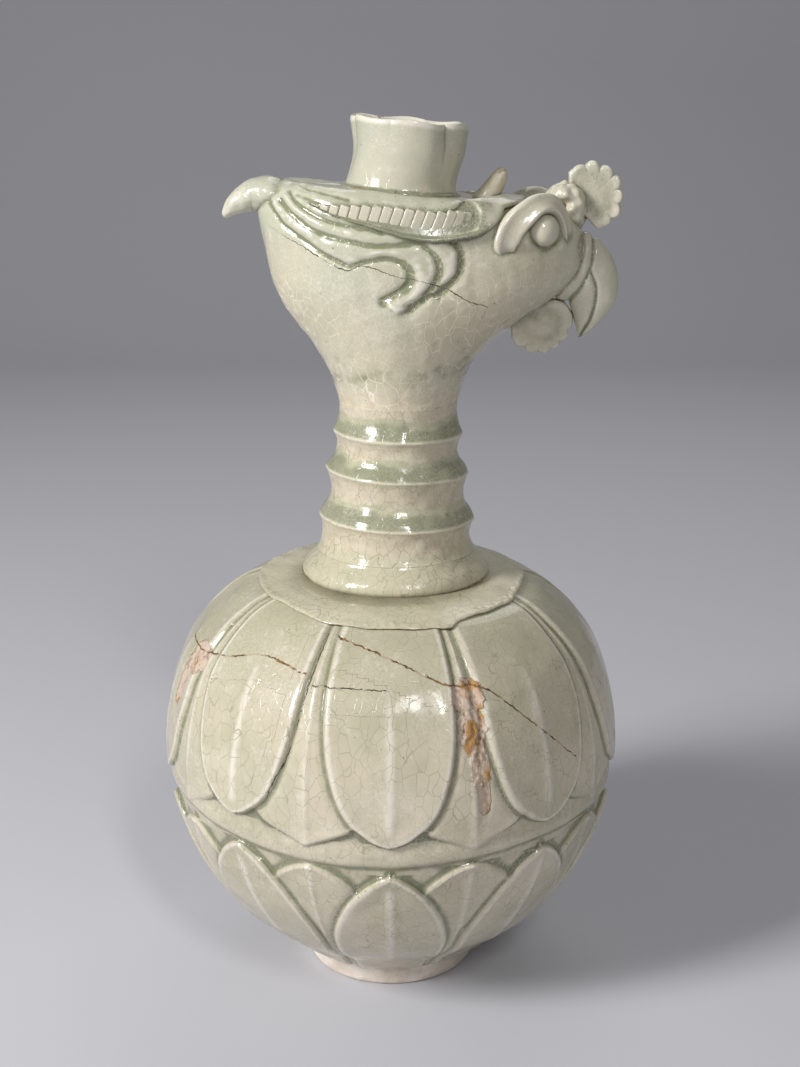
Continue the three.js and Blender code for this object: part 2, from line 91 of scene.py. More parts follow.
def path_through(points, at):
    """Places along a smooth curve through points: at is a count of even steps, or shares from 0 to 1."""
    points = np.array(points, float)
    reach = np.concatenate([[0], np.cumsum(np.linalg.norm(np.diff(points, axis=0), axis=1))])
    along = np.linspace(0, reach[-1], at) if isinstance(at, int) else np.asarray(at) * reach[-1]
    return np.stack([curve_through(np.stack([reach, c], 1))(along) for c in points.T], axis=-1)


def smooth(low, high, x):
    """A soft step from 0 at low to 1 at high, which may be the smaller of the two."""
    t = np.clip((x - low) / (high - low), 0, 1)
    return t * t * (3 - 2 * t)


def bump(x, width):
    """A soft hill: 1 at zero, about a third at the width, nothing well beyond."""
    return np.exp(-((x / width) ** 2))


def unit(vectors):
    return vectors / np.maximum(np.linalg.norm(vectors, axis=-1, keepdims=True), 1e-9)


def sideways(points):
    """Unit directions that lead level away from the vessel's axis."""
    return unit(points * (1, 1, 0))


def full_turn(count):
    """Evenly spaced angles once round, in radians."""
    return np.arange(count) * 2 * math.pi / count


def either_side(degrees):
    """Degrees round from the front, from -180 to 180."""
    return (degrees + 180) % 360 - 180


def wobble(points, wavelength, seed):
    """Smooth irregularity of about -1 to 1 from a fixed set of plane waves."""
    rng = np.random.default_rng(seed)
    waves = 12
    total = np.zeros(points.shape[:-1])
    for _ in range(waves):
        direction = unit(rng.normal(size=3))
        number = 2 * math.pi / (wavelength * rng.uniform(0.7, 1.5))
        total += np.sin(points @ direction * number + rng.uniform(0, 2 * math.pi))
    return total / math.sqrt(waves)


def line_distance(points, line):
    """Distance in mm from each point to a polyline, the side it lies on, and how far along it lies."""
    nearest = np.full(points.shape[:-1], 1e9)
    side = np.ones(points.shape[:-1])
    share = np.zeros(points.shape[:-1])
    line = np.asarray(line, float)
    for i in range(len(line) - 1):
        start, step = line[i], line[i + 1] - line[i]
        t = np.clip(((points - start) @ step) / (step @ step), 0, 1)
        away = points - start - t[..., None] * step
        distance = np.linalg.norm(away, axis=-1)
        closer = distance < nearest
        nearest = np.where(closer, distance, nearest)
        side = np.where(closer, np.sign(step[0] * away[..., -1] - step[-1] * away[..., 0]), side)
        share = np.where(closer, (i + t) / (len(line) - 1), share)
    return nearest, side, share


def outline_distance(points, outline):
    """Signed distance in mm to a closed outline in the plane, positive inside."""
    closed = np.vstack([outline, outline[:1]])
    nearest, _, _ = line_distance(points, closed)
    inside = np.zeros(points.shape[:-1], bool)
    x, z = points[..., 0], points[..., 1]
    for (x0, z0), (x1, z1) in zip(closed[:-1], closed[1:]):
        if z0 != z1:
            crosses = (z0 > z) != (z1 > z)
            inside ^= crosses & (x < (x1 - x0) * (z - z0) / (z1 - z0) + x0)
    return np.where(inside, nearest, -nearest)


# Meshes
def hollow(rings, rows, columns):
    """How concave a grid of points is, in mm: the mean of its neighbours, measured along the normal."""
    ahead = np.concatenate([rings[rows:], np.repeat(rings[-1:], rows, axis=0)])
    behind = np.concatenate([np.repeat(rings[:1], rows, axis=0), rings[:-rows]])
    left, right = np.roll(rings, columns, axis=1), np.roll(rings, -columns, axis=1)
    normal = unit(np.cross(right - left, ahead - behind))
    return np.einsum("ijk,ijk->ij", normal, (ahead + behind + left + right) / 4 - rings)


def glaze_depth(rings, rows, columns, gain=0.9, outwards=1):
    """How thick the glaze lies: over 0.5 where it pools in a hollow, under 0.5 where it thins on an edge."""
    return np.clip(0.5 + outwards * gain * hollow(rings, rows, columns), 0, 1)


def wall(name, rings, ends, fields=None, material=None):
    """A closed mesh of equal rings: 'loop' joins the last ring to the first, 'caps' closes both ends."""
    rings = np.asarray(rings, float)
    levels, count, _ = rings.shape
    points = rings.reshape(-1, 3)
    i = np.arange(levels if ends == "loop" else levels - 1)[:, None]
    j = np.arange(count)[None, :]
    k = (j + 1) % count
    up = (i + 1) % levels
    corners = np.broadcast_arrays(i * count + j, i * count + k, up * count + k, up * count + j)
    quads = np.stack(corners, axis=-1).reshape(-1, 4)
    fans = np.zeros((0, 3), int)
    if ends == "caps":
        hubs = np.array([rings[0].mean(axis=0), rings[-1].mean(axis=0)])
        a = np.arange(count)
        b = (a + 1) % count
        top = (levels - 1) * count
        low_fan = np.stack([np.full(count, len(points)), b, a], axis=1)
        high_fan = np.stack([np.full(count, len(points) + 1), top + a, top + b], axis=1)
        fans = np.concatenate([low_fan, high_fan])
        points = np.concatenate([points, hubs])
    triangles = np.concatenate([quads[:, :3], quads[:, [0, 2, 3]], fans])
    p, q, r = (points[triangles[:, n]] for n in range(3))
    if np.einsum("ij,ij->", p, np.cross(q, r)) < 0:
        quads, fans = quads[:, ::-1], fans[:, ::-1]
    mesh = bpy.data.meshes.new(name)
    mesh.from_pydata((points * MM).tolist(), [], quads.tolist() + fans.tolist())
    mesh.polygons.foreach_set("use_smooth", [True] * len(mesh.polygons))
    for key, field in (fields or {}).items():
        values = np.full(len(points), 0.5 if key == "glaze_depth" else 0.0, np.float32)
        flat = np.asarray(field, np.float32).reshape(-1)
        values[: len(flat)] = flat
        mesh.attributes.new(key, "FLOAT", "POINT").data.foreach_set("value", values)
    mesh.update()
    if material:
        mesh.materials.append(material)
    return link(bpy.data.objects.new(name, mesh))


# A crack's distance in mm where there is none near
FAR = 9.0


def plain_fields(shape, depth=0.5):
    """The fields that the glaze reads, even all over, with no crack near."""
    even = {"glaze_depth": depth, "bare": 0.0, "scar": 0.0, "brown_crack": FAR, "dark_crack": FAR}
    return {name: value * np.ones(shape) for name, value in even.items()}


def settle(piece, slot, *nodes):
    """The piece rides on the one body and stands for its nodes; its slot is not used."""
    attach(piece, "root")
    if nodes:
        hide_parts(*nodes)
    return piece


def glazed(name, rings, ends, glaze, slot, nodes, depth, **fields):
    """A finished piece of glazed clay with its glaze's depth, and whichever other fields it has."""
    fields = plain_fields(depth.shape) | {"glaze_depth": depth} | fields
    return settle(wall(name, rings, ends, fields, glaze), slot, *nodes.split())


def vertex_places(piece):
    """The places of a mesh's vertices, in mm."""
    flat = np.zeros(len(piece.data.vertices) * 3)
    piece.data.vertices.foreach_get("co", flat)
    return flat.reshape(-1, 3) / MM


def pool_and_shade_at_joints(pieces, reach=2.2, most=0.85):
    """Deepens the glaze of each piece where it meets another: pooled glaze, and painted shade in the joint.
    """
    places = [vertex_places(piece) for piece in pieces]
    for n, piece in enumerate(pieces):
        low, high = places[n].min(0) - reach, places[n].max(0) + reach
        near = [p[np.all((p > low) & (p < high), axis=1)] for m, p in enumerate(places) if m != n]
        near = np.concatenate(near)
        if not len(near):
            continue
        tree = kdtree.KDTree(len(near))
        for i, p in enumerate(near):
            tree.insert(p, i)
        tree.balance()
        box_low, box_high = near.min(0) - reach, near.max(0) + reach
        data = piece.data.attributes["glaze_depth"].data
        depth = np.zeros(len(data), np.float32)
        data.foreach_get("value", depth)
        for i in np.flatnonzero(np.all((places[n] > box_low) & (places[n] < box_high), axis=1)):
            away = tree.find(places[n][i])[2]
            if away < reach:
                depth[i] = max(depth[i], most * (1 - away / reach) + depth[i] * away / reach)
        data.foreach_set("value", depth)


# Materials
def colour(hex_code):
    """An sRGB hex value as linear light."""
    parts = [int(hex_code[i:i + 2], 16) / 255 for i in (1, 3, 5)]
    linear = [p / 12.92 if p <= 0.04045 else ((p + 0.055) / 1.055) ** 2.4 for p in parts]
    return (*linear, 1.0)


NOISE = "ShaderNodeTexNoise"
CELLS = "ShaderNodeTexVoronoi"
MIX = "ShaderNodeMix"
MATH = "ShaderNodeMath"
VECTOR = "ShaderNodeVectorMath"
RANGE = "ShaderNodeMapRange"
FIELD = "ShaderNodeAttribute"
SOFT = {"interpolation_type": "SMOOTHSTEP"}
RGBA = {"data_type": "RGBA"}


def put(tree, kind, inputs=None, out=0, **settings):
    """Adds a node, sets its properties, sets or links its inputs, and gives back one of its outputs."""
    new = tree.nodes.new(kind)
    for key, value in settings.items():
        setattr(new, key, value)
    for key, value in (inputs or {}).items():
        if isinstance(value, bpy.types.NodeSocket):
            tree.links.new(value, new.inputs[key])
        else:
            new.inputs[key].default_value = value
    return new.outputs[out] if new.outputs else None


def new_material(name):
    """An empty material and its node tree."""
    material = bpy.data.materials.new(name)
    material.use_nodes = True
    material.node_tree.nodes.clear()
    return material, material.node_tree


def layered(t, body, layers):
    """Lays colours over a body colour, each as far as its own value rises from low to high, up to a most."""
    for value, low, high, most, over in layers:
        share = put(t, RANGE, {0: value, 1: low, 2: high, 4: most}, **SOFT)
        body = put(t, MIX, {0: share, 6: body, 7: colour(over)}, 2, **RGBA)
    return body


def in_millimetres(t):
    """Object coordinates in millimetres, so that a pattern's scale is one over its size."""
    place = put(t, "ShaderNodeTexCoord", out="Object")
    return put(t, VECTOR, {0: place, "Scale": 1 / MM}, operation="SCALE")


def crazing(t, place, cell_mm, line_mm, bend_mm, stretch):
    """A net of fine cracks: 1 on a line and 0 between, its cells stretched up the wall."""
    bend = put(t, NOISE, {"Vector": place, "Scale": 0.6 / cell_mm, "Detail": 2.0}, out="Color")
    bent = put(t, VECTOR, {0: bend, 1: (bend_mm,) * 3, 2: place}, operation="MULTIPLY_ADD")
    tall = put(t, VECTOR, {0: bent, 1: (1.0, 1.0, 1 / stretch)}, operation="MULTIPLY")
    edge = put(t, CELLS, {"Vector": tall, "Scale": 1 / cell_mm}, out="Distance", feature="DISTANCE_TO_EDGE")
    return put(t, RANGE, {0: edge, 1: 0.0, 2: line_mm / cell_mm, 3: 1.0, 4: 0.0}, **SOFT)


def crack_lines(t, place, name, half_mm):
    """A crack where a signed distance changes side, its line made ragged: 1 on it and 0 beside it."""
    side = put(t, FIELD, out="Fac", attribute_name=name)
    ragged = put(t, NOISE, {"Vector": place, "Scale": 1 / 2.2, "Detail": 3.0}, out="Fac")
    shift = put(t, MATH, {0: ragged, 1: 1.6, 2: -0.8}, operation="MULTIPLY_ADD")
    away = put(t, MATH, {0: side, 1: shift}, operation="ADD")
    away = put(t, MATH, {0: away}, operation="ABSOLUTE")
    return put(t, RANGE, {0: away, 1: half_mm * 0.5, 2: half_mm * 1.4, 3: 1.0, 4: 0.0}, **SOFT)


def celadon(name, buff, green, pooled, thin, net, netted, craze_mm, gloss, greener):
    """Crazed celadon glaze on buff stoneware: glossy, buff where it is thin, grey-green where it pools."""
    material, t = new_material(name)
    place = in_millimetres(t)
    depth = put(t, FIELD, out="Fac", attribute_name="glaze_depth")
    bare = put(t, FIELD, out="Fac", attribute_name="bare")
    scar = put(t, FIELD, out="Fac", attribute_name="scar")
    ragged = put(t, NOISE, {"Vector": place, "Scale": 1 / 4.0, "Detail": 4.0, "Roughness": 0.65}, out="Fac")
    ragged = put(t, MATH, {0: ragged, 1: -0.5}, operation="ADD")
    # Clouds of buff and green with a finer mottle, pooled in the hollows and thin on the edges; the pooled
    # colour also paints the shade written into the glaze's depth at joints, petal tips and fans
    clouds = put(t, NOISE, {"Vector": place, "Scale": 1 / 48.0, "Detail": 2.0}, out="Fac")
    mottle = put(t, NOISE, {"Vector": place, "Scale": 1 / 7.0, "Detail": 4.0, "Roughness": 0.6}, out="Fac")
    depth_here = put(t, MATH, {0: ragged, 1: 0.3, 2: depth}, operation="MULTIPLY_ADD")
    level = put(t, "ShaderNodeSeparateXYZ", {0: place}, "Z")
    up = put(t, MATH, {0: clouds, 1: 50.0, 2: level}, operation="MULTIPLY_ADD")
    body = layered(t, colour(buff), [
        (up, *greener, 0.75, green), (clouds, 0.4, 0.7, 0.5, green),
        (mottle, 0.45, 0.75, 0.3, green), (mottle, 0.45, 0.25, 0.35, thin),
        (depth_here, 0.56, 0.92, 0.85, pooled), (depth_here, 0.44, 0.2, 0.8, thin),
    ])
    # Starved bands: matt buff clay with brown specks
    clay = put(t, NOISE, {"Vector": place, "Scale": 1 / 5.0, "Detail": 4.0, "Roughness": 0.6}, out="Fac")
    speck = put(t, NOISE, {"Vector": place, "Scale": 1 / 0.9, "Detail": 2.0, "Roughness": 0.7}, out="Fac")
    clay = layered(t, colour("#c4b69d"), [
        (clay, 0.3, 0.7, 1.0, "#d4c9b3"), (speck, 0.62, 0.72, 0.7, "#6c5d49"),
    ])
    starved = put(t, MATH, {0: ragged, 1: 1.3, 2: bare}, operation="MULTIPLY_ADD")
    starved = put(t, RANGE, {0: starved, 1: 0.3, 2: 0.8, 4: 0.85}, **SOFT)
    body = put(t, MIX, {0: starved, 6: body, 7: clay}, 2, **RGBA)
    # Crazing: a wide net stained darker and a close net that shows pale, both in patches, and pinholes
    wide = crazing(t, place, craze_mm, 0.15, craze_mm * 0.9, 1.9)
    close = crazing(t, place, craze_mm * 0.38, 0.13, craze_mm * 0.2, 1.4)
    patches = put(t, NOISE, {"Vector": place, "Scale": 1 / 26.0, "Detail": 2.0}, out="Fac")
    some = put(t, RANGE, {0: patches, 1: 0.35, 2: 0.6, 3: 0.3, 4: 0.8}, **SOFT)
    few = put(t, RANGE, {0: patches, 1: 0.62, 2: 0.4, 3: 0.1, 4: 0.5}, **SOFT)
    wide_seen = put(t, MATH, {0: wide, 1: some}, operation="MULTIPLY")
    fade = put(t, RANGE, {0: level, 1: netted[0], 2: netted[1], 3: 1.0, 4: 0.12}, **SOFT)
    wide_seen = put(t, MATH, {0: wide_seen, 1: fade}, operation="MULTIPLY")
    close_seen = put(t, MATH, {0: close, 1: few}, operation="MULTIPLY")
    holes = put(t, CELLS, {"Vector": place, "Scale": 1 / 9.0}, out="Distance")
    body = layered(t, body, [
        (close_seen, 0.0, 1.0, 1.0, thin), (wide_seen, 0.0, 1.0, 1.0, net),
        (holes, 0.055, 0.03, 0.7, "#6f5f45"),
    ])
    # Glaze torn off: rough orange and brown clay with dark pits
    torn = put(t, MATH, {0: ragged, 1: 1.2, 2: scar}, operation="MULTIPLY_ADD")
    torn = put(t, RANGE, {0: torn, 1: 0.42, 2: 0.6}, **SOFT)
    streaks = put(t, VECTOR, {0: place, 1: (1.0, 1.0, 0.3)}, operation="MULTIPLY")
    rust = put(t, NOISE, {"Vector": streaks, "Scale": 1 / 3.2, "Detail": 5.0, "Roughness": 0.75}, out="Fac")
    ochre = put(t, NOISE, {"Vector": streaks, "Scale": 1 / 7.0, "Detail": 2.0}, out="Fac")
    raw = layered(t, colour("#cdb9a6"), [
        (ochre, 0.5, 0.62, 0.9, "#b0813f"), (rust, 0.5, 0.66, 0.9, "#7c5c40"),
    ])
    body = put(t, MIX, {0: torn, 6: body, 7: raw}, 2, **RGBA)
    # Cracks: one stained brown, one a dark hairline
    faded = put(t, NOISE, {"Vector": place, "Scale": 1 / 6.0, "Detail": 2.0}, out="Fac")
    faded = put(t, RANGE, {0: faded, 1: 0.36, 2: 0.5, 3: 0.25, 4: 1.0}, **SOFT)
    brown = put(t, MATH, {0: crack_lines(t, place, "brown_crack", 0.3), 1: faded}, operation="MULTIPLY")
    dark = put(t, MATH, {0: crack_lines(t, place, "dark_crack", 0.19), 1: faded}, operation="MULTIPLY")
    stain = put(t, NOISE, {"Vector": place, "Scale": 1 / 3.0, "Detail": 3.0}, out="Fac")
    stain = layered(t, colour("#8f6a3c"), [(stain, 0.46, 0.62, 1.0, "#55402c")])
    body = put(t, MIX, {0: brown, 6: body, 7: stain}, 2, **RGBA)
    body = put(t, MIX, {0: dark, 6: body, 7: colour("#3c352b")}, 2, **RGBA)
    # Surface in mm: long soft waves, orange peel, crazing, and pits where the clay is bare
    waves = put(t, NOISE, {"Vector": place, "Scale": 1 / 13.0, "Detail": 2.0}, out="Fac")
    peel = put(t, NOISE, {"Vector": place, "Scale": 1 / 2.0, "Detail": 2.0}, out="Fac")
    cracked = put(t, MATH, {0: brown, 1: dark}, operation="MAXIMUM")
    grain = put(t, MATH, {0: rust, 1: torn}, operation="MULTIPLY")
    pitted = put(t, MATH, {0: speck, 1: starved}, operation="MULTIPLY")
    height = 0.0
    heights = [(peel, 0.03), (waves, 0.3), (wide, -0.03), (cracked, -0.25), (grain, 1.2), (pitted, -0.06)]
    for pattern, mm in heights:
        height = put(t, MATH, {0: pattern, 1: mm, 2: height}, operation="MULTIPLY_ADD")
    relief = put(t, "ShaderNodeBump", {"Height": height, "Strength": 1.0, "Distance": MM}, out="Normal")
    # Gloss: wet-looking glaze, duller where it is starved, matt where it is torn
    rough = put(t, NOISE, {"Vector": place, "Scale": 1 / 17.0, "Detail": 3.0}, out="Fac")
    rough = put(t, RANGE, {0: rough, 1: 0.3, 2: 0.7, 3: gloss, 4: gloss + 0.12}, **SOFT)
    rough = put(t, MATH, {0: starved, 1: 0.2, 2: rough}, operation="MULTIPLY_ADD")
    rough = put(t, MATH, {0: torn, 1: 0.6, 2: rough}, operation="MULTIPLY_ADD")
    shader = {"Base Color": body, "Roughness": rough, "Normal": relief, "IOR": 1.5}
    put(t, "ShaderNodeOutputMaterial", {"Surface": put(t, "ShaderNodeBsdfPrincipled", shader)})
    return material


def fired_clay(name, pale, dark, grain_mm):
    """Unglazed stoneware: matt, sandy and stained in patches."""
    material, t = new_material(name)
    place = in_millimetres(t)
    stain = put(t, NOISE, {"Vector": place, "Scale": 1 / 11.0, "Detail": 4.0, "Roughness": 0.6}, out="Fac")
    sand = put(t, NOISE, {"Vector": place, "Scale": 1 / grain_mm, "Detail": 4.0, "Roughness": 0.7}, out="Fac")
    body = layered(t, colour(pale), [(stain, 0.35, 0.7, 1.0, dark), (sand, 0.58, 0.75, 0.5, "#8a7462")])
    relief = put(t, "ShaderNodeBump", {"Height": sand, "Strength": 1.0, "Distance": 0.4 * MM}, out="Normal")
    rough = put(t, RANGE, {0: sand, 1: 0.3, 2: 0.7, 3: 0.6, 4: 0.9}, **SOFT)
    shader = {"Base Color": body, "Roughness": rough, "Normal": relief}
    put(t, "ShaderNodeOutputMaterial", {"Surface": put(t, "ShaderNodeBsdfPrincipled", shader)})
    return material


BODY_GLAZE = celadon("celadon_glaze_body", "#cac0aa", "#aaa88d", "#70735a", "#e0d8ca", "#a19c84",
                     netted=(200, 260), craze_mm=4.6, gloss=0.075, greener=(150, 230))
HEAD_GLAZE = celadon("celadon_glaze_head", "#c9bea5", "#b8b9a4", "#747859", "#e0dacb", "#ebe3cf",
                     netted=(314, 345), craze_mm=4.8, gloss=0.075, greener=(325, 375))
TRIM_GLAZE = celadon("celadon_glaze_ornaments", "#cbc3af", "#b5b7a3", "#767a5f", "#e0dacb", "#8b876e",
                     netted=(200, 320), craze_mm=4.0, gloss=0.08, greener=(338, 440))
NECK_GLAZE = celadon("celadon_glaze_neck", "#cdc4ab", "#a9a98e", "#7f826b", "#dad2bf", "#969278",
                     netted=(300, 400), craze_mm=4.0, gloss=0.09, greener=(170, 300))
# The foot's clay colours are paler than its own tone: painted light that makes up for the shade of the belly
# over the foot
FOOT_CLAY_PAINTED_LIGHTER = fired_clay("biscuit_stoneware_painted_lighter", "#f3e9dc", "#e0d1c0", 1.2)


# Body: a round belly with two tiers of lotus petals in relief
PETALS = 9
CELL = 360 / PETALS
WAIST_Z = 95.0
FOOT_TOP = 10.4
SHOULDER_Z = 187.0
SHOULDER_R = 59.0
SHOULDER_BORE = 34.0
RELIEF = 2.4
WALL = 8.4
# Columns of the mesh gather this far to each side of a petal's edge
EDGE_ZONE = 3.2
# A ring this close to a seam keeps the seam's edge crisp
GUARD = 0.05

body_radius = curve_through([
    (10.7, 42), (14, 48), (22, 56), (34, 71), (48, 82.4), (64, 92.0), (84, 99.5), (108, 103.3),
    (128, 102.2), (148, 97.2), (163, 90), (175, 79), (183, 68.5), (SHOULDER_Z, SHOULDER_R),
])
# How far a petal reaches to each side, in degrees, at a distance in mm from its tip
hanging_half_width = curve_through([
    (0, 0), (1.5, 2.6), (4, 5.2), (12, 10), (25, 13.4), (45, 15.9), (80, 17.6),
])
pointed_half_width = curve_through([(0, 0), (3.5, 4.4), (9, 11.0), (20, 17), (60, 20)])
rising_half_width = curve_through([
    (0, 0), (1.0, 1.9), (3, 3.7), (8, 7.0), (17, 11.0), (31, 15.2), (46, 17.8), (72, 17.4),
])
low_under_half_width = curve_through([(0, 0), (1.0, 2.6), (3, 5.4), (8, 9.4), (17, 13.6), (30, 17.5)])
# Hand cut: each tip stands a little higher or lower than the next, in mm from the middle of its tier
HANGING_TIPS = 101.5 + np.array([0, 1.0, 2.5, -1.0, 1.5, 0.5, 2.0, 0.0, 5.0])
POINTED_TIPS = 99.6 + np.array([-1.5, 0.5, 1.5, 0.0, -1.0, 1.0, 0.5, -0.5, 0.0])
RISING_TIPS = 88.5 + np.array([-0.5, 2.5, 1.0, 0.0, 2.0, -1.0, 1.0, 0.5, 4.5])
LOW_UNDER_TIPS = 89.0 + np.array([2.0, 3.0, 1.5, 2.5, 2.0, 3.0, 1.5, 2.0, 1.5])
belt_height = curve_through([
    (-180, 95), (-110, 97), (-60, 99), (-45, 97.6), (-27, 94.8), (0, 93.8), (13, 95), (28, 96.4),
    (41, 97.8), (75, 96.5), (120, 95), (180, 95),
])


def petal_edge(degrees, z, first, tips, direction, half_width):
    """Distance in mm inside the nearest petal's outline, across from its midrib, and up from its tip."""
    turn = (degrees - first) / CELL
    which = np.round(turn).astype(int)
    offset = (turn - which) * CELL
    reach = (z - tips[which % PETALS]) * direction
    arc = np.radians(1) * body_radius(z)
    half = half_width(np.maximum(reach, 0)) * arc
    ahead = half_width(np.maximum(reach, 0) + 0.5) * arc
    lean = np.sqrt(1 + ((ahead - half) / 0.5) ** 2)
    side = np.abs(offset) * arc
    edge = np.where(reach >= 0, (half - side) / lean, -np.hypot(np.minimum(reach, 0), side))
    return edge, offset * arc, reach


def petal_columns(z, tips, direction, half_width, counts):
    """Angles of the wall's columns at each level, gathered along the edges of a tier's petals."""
    near = EDGE_ZONE / (np.radians(1) * body_radius(z))
    inside, edge, outside = (np.arange(n) / n for n in counts)
    cells = []
    for petal, tip in enumerate(tips):
        half = half_width(np.maximum((z - tip) * direction, 0))
        half = np.clip(half, near + 0.8, CELL / 2 - near - 0.3)
        right = np.concatenate([(half - near) * inside, half - near + 2 * near * edge,
                                half + near + (CELL / 2 - half - near) * outside], axis=1)
        border = np.full_like(z, CELL / 2)
        cells.append(petal * CELL + np.concatenate([-border, -right[:, :0:-1], right], axis=1))
    return np.concatenate(cells, axis=1)


def tier_relief(degrees, z, over_tips, under_tips, direction, over_width, under_width):
    """Petals with rolled edges and dished faces over the points of a back row, and how their glaze lies, with
    painted shadow just beyond each petal's tip.
    """
    edge, across, reach = petal_edge(degrees, z, CELL / 2, under_tips, direction, under_width)
    over_edge, over_across, over_reach = petal_edge(degrees, z, 0.0, over_tips, direction, over_width)
    clear = -over_edge
    swell = 1.1 + 0.8 * smooth(0.5, 4.5, clear) + 0.5 * bump(across, 1.7) * smooth(0, 5, clear)
    swell += 0.3 * bump(edge - 1.6, 1.5) - 0.3 * smooth(2, 9, edge)
    under = smooth(-1.2, 1.2, edge)
    roll = 0.16 * bump(over_edge - 2.6, 2.0)
    rib = 0.55 * bump(over_across, 2.3) * smooth(1, 12, over_reach) * smooth(75, 50, over_reach)
    dish = 0.6 * smooth(2.0, 11, over_edge)
    front = RELIEF + 0.3 + roll + rib - dish
    share = smooth(-1.3, 1.3, over_edge)
    relief = swell * under * (1 - share) + front * share
    channel = smooth(-0.6, 0.6, clear) * smooth(3.6, 1.0, clear)
    ground = smooth(0.2, 1.2, -edge) * smooth(0.2, 1.2, clear)
    pooled = 0.36 * channel + 0.14 * ground + 0.38 * bump(edge + 1.1, 1.6) * (1 - share)
    # A darker line just beyond each petal's tip: pooled glaze, and painted shadow under the tip
    pooled += 0.3 * bump(clear - 0.9, 1.3) * smooth(12, 2, over_reach)
    thin = 0.26 * bump(over_edge - 1.8, 1.3) + 0.24 * bump(edge - 1.1, 0.9) * (1 - share) + 0.3 * rib / 0.55
    thin += 0.2 * bump(across, 1.6) * under * (1 - share)
    return relief, np.clip(0.5 + pooled - thin, 0, 1)


def body_rings(degrees, z, relief):
    """Points of the body's wall, raised by a relief, with the slight unevenness of hand work."""
    angle = np.radians(degrees)
    r = body_radius(z) - RELIEF + relief
    points = np.stack([r * np.sin(angle), -r * np.cos(angle), z + 0 * angle], axis=-1)
    uneven = 0.3 * wobble(points, 60.0, 3) + 0.12 * wobble(points, 14.0, 4)
    return points + sideways(points) * uneven[..., None]


def round_rings(levels, count, start=0.0):
    """Plain rings from radius and height, their columns evenly spaced from a first angle in degrees."""
    angle = np.radians(start + np.arange(count) * 360 / count)
    rings = [(r * np.sin(angle), -r * np.cos(angle), np.full(count, z)) for r, z in levels]
    return np.array([np.stack(ring, axis=-1) for ring in rings])


def belt(degrees, z):
    """The smooth raised cord between the two tiers of petals."""
    away = z - belt_height(degrees)
    return 1.75 * smooth(-4.0, 0.2, away) * smooth(9.5, 1.5, away)


def belt_glaze(degrees, z):
    """Thin on the cord's crest and pooled just below it."""
    away = z - belt_height(degrees)
    return np.clip(0.66 - 0.26 * bump(away - 0.3, 1.3) + 0.14 * bump(away + 3.0, 2.0), 0, 1)


def scar_field(degrees, z):
    """Where glaze was torn off by a neighbour in the kiln, from 0 to 1."""
    field = np.zeros(np.broadcast(degrees, z).shape)
    for middle, level, wide, tall in SCARS:
        away = np.hypot((degrees - middle) / wide, (z - level) / tall)
        field = np.maximum(field, 1 - smooth(0.4, 1.3, away))
    return field


# Each patch of a scar: middle in degrees round from the front, middle height, half width, half height
SCARS = [
    (20.5, 161, 5.4, 8), (20.6, 148, 4.4, 12), (21.6, 133, 3.0, 12), (22.4, 121, 1.9, 9),
    (-70, 158, 3.5, 10), (-66, 161, 5.0, 8), (-72, 146, 3.0, 12),
]
# Cracks on the body, as degrees round from the front and height
BROWN_CRACKS = [
    [(-80.6, 168), (-80.6, 164.1), (-65.8, 164), (-52, 167.5), (-39.7, 171.6), (-23.7, 168.9)],
    [(-19.8, 182), (-9, 179), (3, 174), (16.5, 165.9), (25.9, 163.5), (36.9, 148.1), (50.7, 126.1)],
]
DARK_CRACKS = [
    [(-21.5, 181.6), (-22.4, 163.2), (-24.5, 140.2), (-30, 117.7)],
    [(-21.3, 165.1), (-13.5, 165.8), (1.4, 165.4)],
]
# The wall's radius where the cracks run, which turns their degrees into mm of arc
CRACKED_R = 95.0


def crack_field(places, cracks):
    """Signed distance in mm to the nearest crack, held far away beyond the crack's ends."""
    field = np.full(places.shape[:-1], FAR)
    for crack in cracks:
        crack = path_through(crack, 40)
        away, side, share = line_distance(places, crack)
        ends = np.minimum(share, 1 - share)
        signed = np.where(ends > 0, side * away, FAR)
        field = np.where(np.abs(signed) < np.abs(field), signed, field)
    return field


def body_cracks(signed, z, cracks):
    """Distance to the body's cracks, measured on its wall as arc and height in mm."""
    arc = np.radians(signed) * CRACKED_R
    places = np.stack(np.broadcast_arrays(arc, z + 0 * signed), axis=-1)
    return crack_field(places, [[(math.radians(d) * CRACKED_R, h) for d, h in crack] for crack in cracks])


